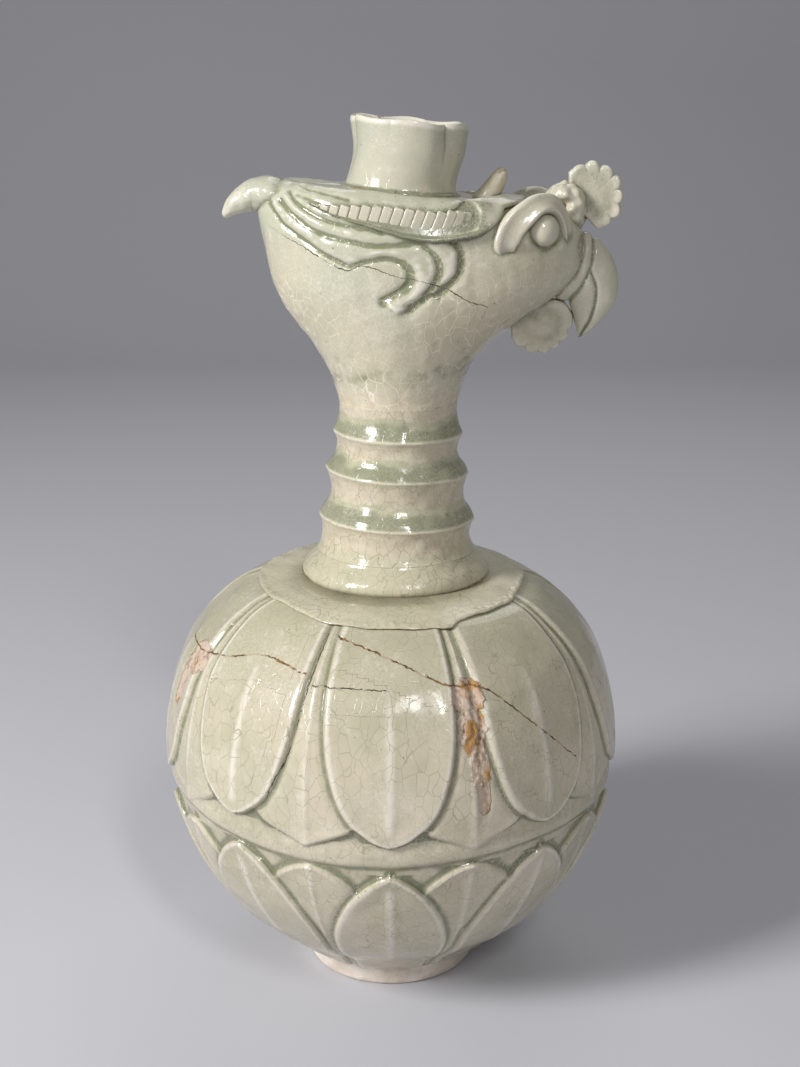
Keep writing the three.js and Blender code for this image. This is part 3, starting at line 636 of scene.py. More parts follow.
def upper_body():
    """The upper half of the body, its hanging petals, the belt, the scars and the cracks."""
    z = np.concatenate([
        [WAIST_Z], np.linspace(WAIST_Z + GUARD, 112, 40, endpoint=False),
        np.linspace(112, 172, 56, endpoint=False), np.linspace(172, SHOULDER_Z - GUARD, 26), [SHOULDER_Z],
    ])[:, None]
    degrees = petal_columns(z, HANGING_TIPS, 1, hanging_half_width, (9, 14, 14))
    columns = degrees.shape[1]
    signed = either_side(degrees)
    relief, depth = tier_relief(signed, z, HANGING_TIPS, POINTED_TIPS, 1,
                                hanging_half_width, pointed_half_width)
    cord = belt(signed, z)
    depth = np.where(cord > relief, belt_glaze(signed, z), depth)
    relief = np.maximum(relief, cord)
    torn = scar_field(signed, z)
    rings = body_rings(degrees, z, relief)
    rings += sideways(rings) * (0.45 * wobble(rings, 2.6, 8) * torn - 0.6 * torn)[..., None]
    inner = round_rings([
        (SHOULDER_R - 5, SHOULDER_Z), (SHOULDER_BORE, SHOULDER_Z), (SHOULDER_BORE, 184),
        (SHOULDER_BORE + 1, 181), (body_radius(171) - 9, 168), (body_radius(143) - WALL, 140),
        (body_radius(115) - WALL, 115), (body_radius(WAIST_Z) - WALL, WAIST_Z),
    ], columns, -CELL / 2)
    return glazed("upper_body_petals", np.concatenate([rings, inner]), "loop", BODY_GLAZE, "celadon_glaze",
                  "upper_body", depth, scar=torn, brown_crack=body_cracks(signed, z, BROWN_CRACKS),
                  dark_crack=body_cracks(signed, z, DARK_CRACKS))


def lower_bowl():
    """The lower half of the body with its rising petals, smooth where it meets the foot."""
    z = np.concatenate([np.linspace(FOOT_TOP + 0.3, WAIST_Z - GUARD, 112), [WAIST_Z]])[:, None]
    degrees = petal_columns(z, RISING_TIPS, -1, rising_half_width, (9, 14, 17))
    columns = degrees.shape[1]
    signed = either_side(degrees)
    relief, depth = tier_relief(signed, z, RISING_TIPS, LOW_UNDER_TIPS, -1,
                                rising_half_width, low_under_half_width)
    cord = belt(signed, z)
    depth = np.where(cord > relief, belt_glaze(signed, z), depth)
    relief = np.maximum(relief, cord)
    low = smooth(16, 10, z)
    rings = body_rings(degrees, z, relief * (1 - low) + 1.6 * low)
    bottom = round_rings([(30, FOOT_TOP + 0.3)], columns, -CELL / 2)
    inner = round_rings([
        (body_radius(WAIST_Z) - WALL, WAIST_Z), (body_radius(58) - WALL, 60), (body_radius(28) - WALL, 30),
        (30, 18),
    ], columns, -CELL / 2)
    depth = np.concatenate([np.full((1, columns), 0.5), depth])
    return glazed("lower_bowl_petals", np.concatenate([bottom, rings, inner]), "caps", BODY_GLAZE,
                  "celadon_glaze", "lower_bowl", depth)


def foot_ring():
    """The turned foot, bare clay, slightly uneven above the ring that it stands on."""
    profile = path_through([
        (27, FOOT_TOP), (26.6, 4), (28, 0.4), (29, 0), (36.6, 0), (38.2, 0.8), (38.9, 3), (39.6, 6.5),
        (40.8, FOOT_TOP),
    ], 44)
    rings = round_rings(profile, 200)
    uneven = 0.25 * wobble(rings, 12.0, 21) + 0.12 * wobble(rings, 4.0, 22)
    rings += sideways(rings) * (uneven * smooth(0, 2, rings[..., 2]))[..., None]
    return settle(wall("turned_foot", rings, "loop", None, FOOT_CLAY_PAINTED_LIGHTER), "biscuit", "foot_ring")


# The collar's edge by degrees round from the front: it reaches further down in front than at the sides
collar_edge = curve_through([
    (-180, 61), (-94, 59.5), (-62, 60.5), (-51, 61), (-40, 62.5), (-24, 66), (-11, 66.8), (3, 67), (16, 68),
    (22, 68.4), (26, 65), (44, 63.5), (55, 63), (62, 61.5), (76, 60), (130, 60.5), (180, 61),
])
COLLAR_TOP = 190.2


def shoulder_collar():
    """A thin cape over the shoulder that runs out over the tops of the petals, its edge cut by hand."""
    columns = 480
    degrees = (np.arange(columns) * 360 / columns)[None, :]
    signed = either_side(degrees)
    angle = np.radians(degrees)
    edge = collar_edge(signed) + 0.4 * np.sin(np.radians(signed) * 17) * np.sin(np.radians(signed) * 5)
    # Share of the way from the bore to the edge, and height above the shoulder's own surface
    profile = [
        (0.0, None), (0.88, 0.0), (0.985, 0.0), (1.003, 0.25), (1.008, 0.6), (0.998, 0.95), (0.98, 1.12),
        (0.955, 1.15), (0.93, 1.05), (0.9, 0.95), (0.86, 0.9), (0.8, 0.9), (0.7, 0.95), (0.0, None),
    ]
    shoulder_z = curve_through([(44, 189.1), (52, 188.3), (SHOULDER_R, 187.1), (63.5, 185.6), (68.5, 183.5)])
    rings = []
    for n, (share, lift) in enumerate(profile):
        r = SHOULDER_BORE + (edge - SHOULDER_BORE) * share
        if lift is None:
            z = np.full_like(r, SHOULDER_Z + 0.2 if n == 0 else COLLAR_TOP)
        else:
            z = shoulder_z(r) + lift
        rings.append(np.stack([r * np.sin(angle), -r * np.cos(angle), z], axis=-1)[0])
    rings = np.array(rings)
    flat = path_through(rings[3:13].reshape(10, -1), 40).reshape(40, columns, 3)
    rings = np.concatenate([rings[:3], flat, rings[13:]])
    near_edge = (np.arange(len(rings)) < 22)[:, None]
    grain = 0.12 * wobble(rings, 15.0, 31) + 0.1 * wobble(rings, 3.0, 32) * near_edge
    rings[3:-1, :, 2] += grain[3:-1]
    return glazed("shoulder_step", rings, "loop", NECK_GLAZE, "pooled_glaze", "shoulder_collar",
                  glaze_depth(rings, 2, 3, outwards=-1))


# Neck: a flared skirt and a tube with three sharp ridges, both a little towards the beak
NECK_TOP = 268.0
FLANGE_Z = 201.0
CRESTS = (216.2, 237.0, 254.1)
RIDGE_TILT = 0.03
ridge_tilt = curve_through([(FLANGE_Z + 1, 0), (FLANGE_Z + 11, 1), (NECK_TOP - 12, 1), (NECK_TOP - 4, 0)])


def neck_centre(z):
    """How far the neck's own axis stands towards the beak, leaning a little more as it rises."""
    return 2.2 + (z - COLLAR_TOP) * 1.2 / (NECK_TOP - COLLAR_TOP)


def neck_rings(profile, columns, seed):
    """Rings round the neck's axis from radius and height, dipping towards the beak, uneven by hand."""
    angle = full_turn(columns)
    r, z = np.array(profile)[:, :1], np.array(profile)[:, 1:]
    out = np.stack(np.broadcast_arrays(np.cos(angle), np.sin(angle), 0 * angle), axis=-1)
    rings = np.stack(np.broadcast_arrays(
        neck_centre(z) + r * np.cos(angle), r * np.sin(angle),
        z - RIDGE_TILT * r * np.cos(angle) * ridge_tilt(z)), axis=-1)
    uneven = 0.25 * wobble(rings, 26.0, seed) + 0.1 * wobble(rings, 7.0, seed + 1)
    return rings + (uneven * smooth(NECK_TOP - 0.5, NECK_TOP - 8, z))[..., None] * out


def neck_flange():
    """The flared skirt at the foot of the neck, its glaze thinner towards the top."""
    columns = 300
    profile = path_through([
        (41.3, 189.6), (41.6, 190.1), (41.9, 190.8), (42.0, 191.8), (41.4, 193.6), (39.9, 195.8),
        (37.6, 198), (36, 199.8), (35.2, FLANGE_Z),
    ], 60)
    inner = [(27.5, FLANGE_Z), (30, 190.2)]
    rings = np.concatenate([neck_rings(profile, columns, 41), neck_rings(inner, columns, 41)])
    z = rings[..., 2]
    depth = np.clip(0.5 + 0.2 * bump(z - 190.0, 0.9) + 0.1 * smooth(195, 198, z), 0, 1)
    return glazed("neck_skirt", rings, "loop", NECK_GLAZE, "pooled_glaze", "neck_flange", depth,
                  bare=0.28 * smooth(196, 201, z))


def neck_tube():
    """The tube of the neck with a sharp crest at each of its three ridges."""
    columns = 300
    profile = path_through([
        (35.2, FLANGE_Z), (33.8, 203.5), (32.8, 208), (33.2, 212.6), (34.0, 215), (34.6, 216.1), (34.3, 217),
        (33.2, 219.2), (31.2, 222), (29.6, 225.6), (29.5, 230), (30.3, 234), (31.0, 236), (31.5, 237),
        (31.2, 237.9), (29.9, 240), (28.0, 242.6), (26.8, 246), (26.8, 249.5), (27.6, 252.2), (28.3, 253.5),
        (28.5, 254.1), (28.2, 255), (27.2, 257.2), (26.3, 259.6), (25.8, 262), (25.8, 265),
        (26.1, NECK_TOP + 0.15),
    ], 260)
    inner = neck_rings([(20.5, NECK_TOP), (20.8, 246), (24.5, 222), (27, FLANGE_Z)], columns, 45)
    rings = np.concatenate([neck_rings(profile, columns, 45), inner])
    z = rings[..., 2] + RIDGE_TILT * (rings[..., 0] - neck_centre(rings[..., 2])) * ridge_tilt(rings[..., 2])
    # Green glaze pools above each crest up to a wandering border, and buff clay shows below each crest
    drift = 1.3 * wobble(rings, 16.0, 46) + 0.5 * wobble(rings, 5.0, 47)
    pool = 0.4 + 0 * z
    bare = 0.28 + 0.3 * smooth(202, 208, z)
    for level in CRESTS:
        band = smooth(level + 0.2, level + 1.4, z) * smooth(level + 9.5 + drift, level + 5.0 + drift, z)
        pool += 0.42 * band - 0.45 * bump(z - level, 0.55)
        bare += 0.3 * smooth(level - 0.8, level - 3.5, z) * smooth(level - 13, level - 8, z)
        bare -= 0.75 * smooth(level - 0.5, level + 0.6, z) * smooth(level + 11 + drift, level + 6 + drift, z)
    bare += 0.25 * smooth(261, 265, z)
    return glazed("neck_ridged", rings, "loop", NECK_GLAZE, "pooled_glaze", "neck", np.clip(pool, 0, 1),
                  bare=np.clip(bare, 0, 0.8))


# Geometry Nodes
def new_tree(name, inputs):
    """A Geometry Nodes tree with a geometry in and out and named sizes, each with its kind of socket."""
    tree = bpy.data.node_groups.new(name, "GeometryNodeTree")
    tree.interface.new_socket("Geometry", in_out="INPUT", socket_type="NodeSocketGeometry")
    tree.interface.new_socket("Geometry", in_out="OUTPUT", socket_type="NodeSocketGeometry")
    for key, kind in inputs.items():
        tree.interface.new_socket(key, in_out="INPUT", socket_type=kind)
    return tree, tree.nodes.new("NodeGroupInput").outputs


def end_tree(tree, geometry, material):
    geometry = put(tree, "GeometryNodeRealizeInstances", {0: geometry})
    geometry = put(tree, "GeometryNodeSetMaterial", {0: geometry, "Material": material})
    put(tree, "NodeGroupOutput", {0: geometry})


def made_by(tree, piece, sizes):
    """Runs a tree on a piece with its sizes set, and keeps the outcome as the piece's plain mesh."""
    modifier = piece.modifiers.new(tree.name, "NODES")
    modifier.node_group = tree
    for socket in tree.interface.items_tree:
        if socket.in_out == "INPUT" and socket.name in sizes:
            modifier[socket.identifier] = sizes[socket.name]
    evaluated = piece.evaluated_get(bpy.context.evaluated_depsgraph_get())
    mesh = bpy.data.meshes.new_from_object(evaluated)
    piece.modifiers.clear()
    piece.data = mesh
    return piece


# Head: sections from the neck up over the crown: how far along, height, front reach, rear reach, half width
HEAD_ROWS = [
    (0, 268.0, 26, 26, 26), (1, 277, 28.6, 28.6, 27.4), (2, 286, 32.6, 33, 29.8), (3, 295, 41.5, 39, 32.4),
    (4, 304, 53, 45.5, 35), (5, 312, 63.5, 51, 36.8), (6, 321, 71, 55.6, 38), (7, 331, 73.4, 58.6, 38.4),
    (8, 341, 72, 61, 37.6), (9, 349, 71.6, 61.4, 35), (10, 354.5, 66, 57, 31), (11, 357.2, 49, 46, 27),
    (12, 357.5, 21.5, 21.5, 21.5),
]
# The head's axis stands a little further forwards than the neck's top, which it starts from
HEAD_FOOT_X = 3.4
HEAD_AXIS_X = 4.5
HEAD_TOP = 357.5
TOP_TILT = 0.085
head_row = [curve_through([(row[0], row[n]) for row in HEAD_ROWS]) for n in (1, 2, 3, 4)]
# How far the muzzle stands out in front, by height
muzzle_reach = curve_through([
    (308, 0), (314, 0.6), (322, 3.4), (331, 5.4), (340, 5.4), (347, 3), (353, 0.6), (356, 0),
])


def head_surface(angle, along, grow=0.0):
    """A place on the head by angle round its axis and level, moved out by a growth in mm."""
    z, front, rear, half = (f(along) for f in head_row)
    c, s = np.cos(angle), np.sin(angle)
    pinch = np.where(c < 0, 1 - 0.14 * c * c, 1)
    axis = HEAD_FOOT_X + (HEAD_AXIS_X - HEAD_FOOT_X) * np.clip((z - NECK_TOP) / 60, 0, 1)
    x = axis + c * (np.where(c > 0, front, rear) + grow)
    y = s * pinch * (half + grow)
    tilt = smooth(305, 350, z) * TOP_TILT * (x - HEAD_AXIS_X)
    z = z + smooth(9, 11.5, along) * grow - tilt
    turned = np.degrees(np.abs(np.arctan2(s, c)))
    x = x + muzzle_reach(z) * smooth(36, 16, turned)
    z = z + 1.6 * smooth(120, 165, turned) * smooth(9.2, 10.2, along) * smooth(11.4, 10.8, along)
    return np.stack(np.broadcast_arrays(x, y, z), axis=-1)


def grid_normals(rings):
    """Outward unit normals of a closed-round grid whose rows run upwards."""
    rise = np.gradient(rings, axis=0)
    round_ = np.roll(rings, -1, axis=1) - np.roll(rings, 1, axis=1)
    return unit(np.cross(round_, rise))


# Lines carved into the side of the head, as x, y, z on its right side
CARVED = [
    (1.25, 1.0, [(-51.3, -8.7, 357.9), (-49.7, -14.5, 353), (-44, -20.6, 345.8), (-36.3, -25.9, 340.6),
                 (-27.9, -30.5, 335.3), (-16.7, -34.9, 330.5), (-10.6, -36.6, 332.3), (-1.6, -37.8, 333.7),
                 (4.9, -38.3, 332.1), (8.6, -38.1, 328.1), (8.2, -37.9, 322.8), (-2.9, -36.8, 315.7)]),
    (1.25, 1.0, [(-45.3, -17.6, 354.9), (-37.5, -24.9, 347.8), (-27.8, -30.5, 342.6), (-17.1, -34.5, 340.2),
                 (-6.9, -36.9, 338.4), (6.1, -37.7, 338.9), (12.2, -37.4, 339.3), (17.5, -37.3, 335.2),
                 (20, -37.4, 330.4), (19.2, -37.2, 323.9), (14.7, -37.2, 318.2), (8.6, -36.8, 313.2)]),
    (1.1, 0.8, [(-41.5, -16.9, 358.1), (-37.5, -23.1, 353.7), (-27.8, -29.5, 348.6), (-17.1, -33.6, 345.9),
                (-3.2, -36.6, 343.6)]),
    (1.0, 0.6, [(-38.7, -19.8, 357.1), (-25.3, -28.5, 353.3), (-19, -31.5, 350.6)]),
    (1.0, 0.6, [(-41.4, -10.9, 360.5), (-33.5, -19.5, 359.1), (-25.4, -24.7, 357.4), (-17.1, -28.6, 355.7)]),
    (1.0, 0.5, [(-38, 0, 361.6), (-28, 0, 360.4), (-18, -0.1, 359.4)]),
    (1.6, 1.2, [(25.6, -35.9, 339.5), (28.3, -35.7, 335.9), (28.8, -36.1, 331.1), (27.4, -36.3, 326.6),
                (23.7, -36.6, 322.6), (19.2, -36.9, 319.4)]),
]
# The crest's lappets stand proud of the side of the head, above and behind this outline in x, z
CREST_OUTLINE = np.array([
    (-58, 352), (-49.7, 353), (-44, 345.8), (-36.3, 340.6), (-27.9, 335.3), (-16.7, 330.5), (-10.6, 332),
    (-1.6, 333.7), (4.9, 332), (8.4, 327.5), (8.2, 322.8), (3, 318.5), (-2.9, 315.7), (2.8, 311.1),
    (8.6, 313.2), (14.7, 318.2), (19.2, 319.4), (23.7, 322.6), (27.4, 326.6), (28.8, 331.1), (28.3, 335.9),
    (25.6, 339.5), (28, 345), (30, 375), (-75, 375), (-75, 352),
])
HEAD_CRACK = [(-50, -12, 344), (-38.7, -24.2, 338.3), (-18.4, -34.2, 328.4), (-10.6, -36.6, 330.3),
              (2.9, -38.1, 326), (11, -37.9, 324.8), (23.7, -36.5, 320.6), (32.9, -33.6, 315.3),
              (40.5, -30.4, 312.8)]
EYE_DEGREES = 34.0
EYE_LEVEL = 8.75


def eye_place(side):
    """The middle of an eye on the head's surface: side is -1 for the right eye and 1 for the left."""
    return head_surface(math.radians(side * EYE_DEGREES), EYE_LEVEL)


def head_shell():
    """The hollow head with the crest's locks and their comma ends carved in relief on both sides."""
    angle = full_turn(432)[None, :]
    along = np.concatenate([
        [0], np.linspace(GUARD / 9, 5, 40, endpoint=False), np.linspace(5, 11, 132, endpoint=False),
        np.linspace(11, 12 - GUARD / 5, 33), [12],
    ])[:, None]
    rings = head_surface(angle, along)
    # Both sides are alike, so a place on the left is worked out as its mirror image on the right
    side = np.where(rings[..., 1:2] > 0, rings * (1, -1, 1), rings)
    groove = np.zeros(side.shape[:-1])
    for wide, deep, line in CARVED:
        away, _, share = line_distance(side, path_through(line, 40))
        end = smooth(0.72, 0.9, share) if wide > 1.1 else 0
        wide = wide * 1.25
        cut = 0.85 * deep * (1 + 0.6 * end) * bump(away, wide * (1 + 0.4 * end))
        groove = np.maximum(groove, cut + 0.16 * deep * bump(away, 3 * wide))
    raised = outline_distance(side[..., [0, 2]], CREST_OUTLINE)
    crest = smooth(-0.8, 0.9, raised) * smooth(-12, -16, side[..., 1])
    crest = np.maximum(crest, smooth(40, 30, side[..., 0]) * smooth(352, 356, side[..., 2]))
    hollow_eye = np.linalg.norm(side - eye_place(-1), axis=-1)
    below_eye = smooth(2, -4, side[..., 2] - eye_place(-1)[2])
    relief = 0.8 * crest - groove - (0.3 + 0.7 * below_eye) * bump(hollow_eye - 7.2, 2.2)
    uneven = 0.3 * wobble(rings, 40.0, 51) + 0.14 * wobble(rings, 12.0, 52) + 0.05 * wobble(rings, 4.0, 53)
    hold = smooth(268, 271, rings[..., 2])
    rings = rings + grid_normals(rings) * ((relief + uneven) * hold)[..., None]
    depth = glaze_depth(rings, 3, 3, gain=1.1)
    z = rings[..., 2]
    depth = np.clip(depth + 0.4 * np.clip(groove, 0, 1.4) + 0.14 * bump(z - 283, 7.0), 0, 1)
    bare = 0.66 * smooth(281, 272, z + 1.5 * wobble(rings, 12.0, 54))
    away, turn, share = line_distance(rings, path_through(HEAD_CRACK, 60))
    crack = np.where((share > 0) & (share < 1), away * turn, FAR)
    # The wall is 5 mm thick, and a little more under the crown
    levels = (12, 11, 9.6, 8, 6, 4, 2.5, 1, 0)
    inner = np.array([head_surface(angle[0], level, -5.0) - (0, 0, 1.5 * (level > 9)) for level in levels])
    return glazed("head_carved", np.concatenate([rings, inner]), "loop", HEAD_GLAZE, "celadon_glaze",
                  "head_shell", depth, bare=bare, dark_crack=crack)


# Mouth: a thrown cup pressed into six lobes
MOUTH_HEIGHT = 29.5


def lobed_mouth_tree():
    """Presses creases into a cup between its lobes, deepest at the rim, and waves the rim."""
    tree, size = new_tree("lobed_mouth", {
        "Lobes": "NodeSocketInt", "Crease Depth": "NodeSocketFloat", "Rim Wave": "NodeSocketFloat",
        "Phase": "NodeSocketFloat",
    })
    turn = put(tree, "GeometryNodeInputNamedAttribute", {"Name": "azimuth"}, data_type="FLOAT")
    fade = put(tree, "GeometryNodeInputNamedAttribute", {"Name": "press"}, data_type="FLOAT")
    turned = put(tree, MATH, {0: turn, 1: size["Phase"]}, operation="SUBTRACT")
    half = put(tree, MATH, {0: turned, 1: size["Lobes"]}, operation="MULTIPLY")
    half = put(tree, MATH, {0: half, 1: 0.5}, operation="MULTIPLY")
    ridge = put(tree, MATH, {0: put(tree, MATH, {0: half}, operation="SINE")}, operation="ABSOLUTE")
    crease = put(tree, MATH, {0: 1.0, 1: ridge}, operation="SUBTRACT")
    crease = put(tree, MATH, {0: crease, 1: 1.35}, operation="POWER")
    crease = put(tree, MATH, {0: crease, 1: size["Crease Depth"]}, operation="MULTIPLY")
    inward = put(tree, MATH, {0: crease, 1: fade}, operation="MULTIPLY")
    wave = put(tree, MATH, {0: turn, 1: size["Lobes"]}, operation="MULTIPLY")
    wave = put(tree, MATH, {0: wave}, operation="COSINE")
    wave = put(tree, MATH, {0: wave, 1: size["Rim Wave"]}, operation="MULTIPLY")
    wave = put(tree, MATH, {0: wave, 1: fade}, operation="MULTIPLY")
    x = put(tree, MATH, {0: put(tree, MATH, {0: turn}, operation="SINE"), 1: inward}, operation="MULTIPLY")
    x = put(tree, MATH, {0: x, 1: -1.0}, operation="MULTIPLY")
    y = put(tree, MATH, {0: put(tree, MATH, {0: turn}, operation="COSINE"), 1: inward}, operation="MULTIPLY")
    shift = put(tree, "ShaderNodeCombineXYZ", {0: x, 1: y, 2: wave})
    end_tree(tree, put(tree, "GeometryNodeSetPosition", {0: size["Geometry"], "Offset": shift}), TRIM_GLAZE)
    return tree


def mouth_cup():
    """The cup on the head: thrown round, pressed into lobes, buff glaze with a brown stain at its base."""
    angle = full_turn(384)
    # Radius, and share of the way up the cup
    profile = path_through([
        (25.4, -0.02), (25.1, 0.02), (23.6, 0.07), (23.0, 0.2), (23.1, 0.36), (24.2, 0.65), (25.0, 0.86),
        (25.4, 0.94), (25.3, 0.985), (24.6, 1.01), (23.6, 1.0), (22.8, 0.97), (22.2, 0.92), (20.7, 0.6),
        (19.8, 0.3), (20.6, 0.02),
    ], 130)
    r, up = profile[:, :1], profile[:, 1:]
    x = HEAD_AXIS_X + 3.6 * smooth(0, 0.7, up) + r * np.cos(angle)
    z = HEAD_TOP + 0.3 + up * MOUTH_HEIGHT - TOP_TILT * (x - HEAD_AXIS_X)
    rings = np.stack(np.broadcast_arrays(x, r * np.sin(angle), z), axis=-1)
    rings = rings + sideways(rings) * (0.22 * wobble(rings, 22.0, 61))[..., None]
    turn = np.broadcast_to(math.pi / 2 + angle, rings.shape[:-1])
    # The front crease barely shows below the rim; the one to its right is the deepest
    azimuth = either_side(np.degrees(turn))
    press = smooth(0.06, 1.0, np.clip(up, 0, 1)) * (1 + 0.35 * bump(azimuth - 41, 22))
    front = bump(azimuth + 19, 27)
    press = press * (1 - 0.9 * front) + 0.3 * front * smooth(0.7, 1.0, up)
    buff = np.clip(0.16 + 0.25 * wobble(rings, 12.0, 62), 0, 0.45)
    fields = plain_fields(rings.shape[:-1]) | {"azimuth": turn, "press": press, "bare": buff}
    piece = wall("mouth_lobed", rings, "loop", fields)
    made_by(lobed_mouth_tree(), piece, {
        "Lobes": 6, "Crease Depth": 2.9 * MM, "Rim Wave": 0.5 * MM, "Phase": math.radians(-19),
    })
    rings = vertex_places(piece).reshape(rings.shape)
    share = np.broadcast_to(up, rings.shape[:-1])
    depth = glaze_depth(rings, 2, 3, gain=1.2)
    depth = np.clip(depth + 0.5 * bump(share - 0.03, 0.035) - 0.35 * bump(share - 1.0, 0.05), 0, 1)
    for name, field in (("glaze_depth", depth), ("scar", 0.42 * bump(share - 0.03, 0.028))):
        piece.data.attributes[name].data.foreach_set("value", field.astype(np.float32).ravel())
    return settle(piece, "celadon_glaze", "mouth_cup")


# Crest band: a smooth bed with a rolled border, and tiles laid in it that lean forwards
# Where it ends, in degrees from the beak, and the levels on the head of its lower and upper edge
BAND_END = 128
band_low = curve_through([
    (0, 10.95), (20, 10.85), (35, 10.6), (48, 10.25), (53, 9.85), (57.7, 9.15), (63.5, 8.5), (71, 8.2),
    (78.4, 8.0), (85.6, 8.0), (97, 8.3), (110, 8.65), (120, 9.0), (BAND_END, 9.35),
])
band_high = curve_through([
    (0, 11.45), (20, 11.4), (35, 11.3), (48, 11.15), (60, 10.9), (67, 10.5), (72, 9.98), (80, 9.68),
    (90, 9.72), (101, 9.7), (113, 9.5), (120, 9.45), (BAND_END, 9.45),
])
# Its sections over the eyes' rear and over the forehead: share of the way up, and height off the head
BAND_BED = [
    (0.0, -1.5), (0.0, 1.0), (0.012, 1.9), (0.04, 2.7), (0.075, 3.0), (0.11, 2.8), (0.145, 2.1), (0.18, 1.5),
    (0.5, 1.5), (0.88, 1.5), (0.93, 1.9), (0.97, 2.0), (1.0, 1.4), (1.0, -1.5),
]
BAND_SMOOTH = [
    (0.0, -1.5), (0.0, 1.0), (0.02, 2.0), (0.08, 2.8), (0.16, 3.1), (0.25, 3.1), (0.35, 3.0), (0.45, 3.1),
    (0.58, 3.3), (0.7, 3.3), (0.82, 3.0), (0.92, 2.3), (1.0, 1.4), (1.0, -1.5),
]


def band_place(degrees, share, lift):
    """A place in the band: share of the way up from its lower edge, and height off the head."""
    v = band_low(np.abs(degrees)) * (1 - share) + band_high(np.abs(degrees)) * share
    return head_surface(np.radians(degrees), v, lift)


def leaning_tiles_tree():
    """Lays rounded tiles along a path at even steps, standing on the surface and leaning forwards."""
    tree, size = new_tree("leaning_tiles", {
        "Spacing": "NodeSocketFloat", "Tile Width": "NodeSocketFloat", "Tile Thickness": "NodeSocketFloat",
        "Lean": "NodeSocketFloat",
    })
    path = put(tree, "GeometryNodeMeshToCurve", {0: size["Geometry"]})
    path = put(tree, "GeometryNodeResampleCurve", {0: path, "Length": size["Spacing"]}, mode="LENGTH")
    out = put(tree, "GeometryNodeInputNamedAttribute", {"Name": "outwards"}, data_type="FLOAT_VECTOR")
    up = put(tree, "GeometryNodeInputNamedAttribute", {"Name": "across"}, data_type="FLOAT_VECTOR")
    side = put(tree, "GeometryNodeInputNamedAttribute", {"Name": "side"}, data_type="FLOAT")
    tall = put(tree, "GeometryNodeInputNamedAttribute", {"Name": "tall"}, data_type="FLOAT")
    turn = put(tree, "FunctionNodeAlignRotationToVector", {"Vector": out}, axis="Z")
    turn = put(tree, "FunctionNodeAlignRotationToVector", {"Rotation": turn, "Vector": up}, axis="Y",
               pivot_axis="Z")
    lean = put(tree, MATH, {0: side, 1: size["Lean"]}, operation="MULTIPLY")
    lean = put(tree, "FunctionNodeEulerToRotation", {0: put(tree, "ShaderNodeCombineXYZ", {2: lean})})
    turn = put(tree, "FunctionNodeRotateRotation", {0: turn, 1: lean}, rotation_space="LOCAL")
    tile = put(tree, "GeometryNodeMeshCube", {"Size": (1.0, 1.0, 1.0), 1: 4, 2: 6, 3: 3})
    tile = put(tree, "GeometryNodeSubdivisionSurface", {0: tile, "Level": 2})
    scale = put(tree, "ShaderNodeCombineXYZ", {0: size["Tile Width"], 1: tall, 2: size["Tile Thickness"]})
    tiles = put(tree, "GeometryNodeInstanceOnPoints", {
        "Points": path, "Instance": tile, "Rotation": turn, "Scale": scale,
    })
    end_tree(tree, tiles, TRIM_GLAZE)
    return tree


def crest_band():
    """The band round the head: a smooth bed with a rolled lower edge, and the tiles laid in it."""
    steps = 400
    degrees = np.linspace(-BAND_END, BAND_END, steps)
    bed, plain = path_through(BAND_BED, 56), path_through(BAND_SMOOTH, 56)
    rings = []
    for d in degrees:
        front = smooth(66, 60, abs(d))
        taper = min(1.0, math.sqrt(max(0.0, (BAND_END - abs(d)) / 9)) + 0.12)
        share = bed[:, 0] * (1 - front) + plain[:, 0] * front
        lift = bed[:, 1] * (1 - front) + plain[:, 1] * front
        centre = 0.5 + (share - 0.5) * taper
        rings.append(band_place(np.full(len(bed), d), centre, np.where(lift > 0, lift * taper, lift)))
    rings = np.array(rings)
    rings += 0.12 * wobble(rings, 9.0, 71)[..., None] * np.array([0.5, 0.5, 0.7])
    depth = glaze_depth(rings, 2, 2, gain=1.2)
    flat = (np.arange(56) > 16) & (np.arange(56) < 46)
    tiled = smooth(60, 64, np.abs(degrees))[:, None] * flat[None, :]
    under = (np.arange(56) < 5)[None, :]
    depth = np.clip(depth + 0.42 * tiled + 0.35 * under, 0, 1)
    base = glazed("crest_band_bed", rings, "caps", TRIM_GLAZE, "celadon_glaze", "crest_band", depth)
    # The path of the tiles: one run on each side of the head, with its directions and the tiles' heights
    points, edges, out, across, side, tall = [], [], [], [], [], []
    for sign in (-1, 1):
        run = sign * np.linspace(124, 67, 90)
        low, high = band_place(run, 0.19, 1.6), band_place(run, 0.9, 1.6)
        proud = band_place(run, 0.6, 3.6) - band_place(run, 0.6, 1.6)
        start = len(points)
        points += ((low + high) / 2 * MM).tolist()
        edges += [(start + i, start + i + 1) for i in range(len(run) - 1)]
        out += unit(proud).tolist()
        across += unit(high - low).tolist()
        side += [float(sign)] * len(run)
        shrink = smooth(128, 116, np.abs(run)) * smooth(62, 76, np.abs(run))
        tall += (np.linalg.norm(high - low, axis=1) * 1.12 * shrink * MM).tolist()
    mesh = bpy.data.meshes.new("crest_band_tiles")
    mesh.from_pydata(points, edges, [])
    for name, vectors in (("outwards", out), ("across", across)):
        mesh.attributes.new(name, "FLOAT_VECTOR", "POINT").data.foreach_set("vector", np.ravel(vectors))
    for name, values in (("side", side), ("tall", tall)):
        mesh.attributes.new(name, "FLOAT", "POINT").data.foreach_set("value", values)
    tiles = link(bpy.data.objects.new("crest_band_tiles", mesh))
    made_by(leaning_tiles_tree(), tiles, {
        "Spacing": 4.1 * MM, "Tile Width": 4.25 * MM, "Tile Thickness": 2.2 * MM, "Lean": math.radians(20),
    })
    dress(tiles, depth=0.47)
    settle(tiles, "celadon_glaze", "crest_band")
    return base


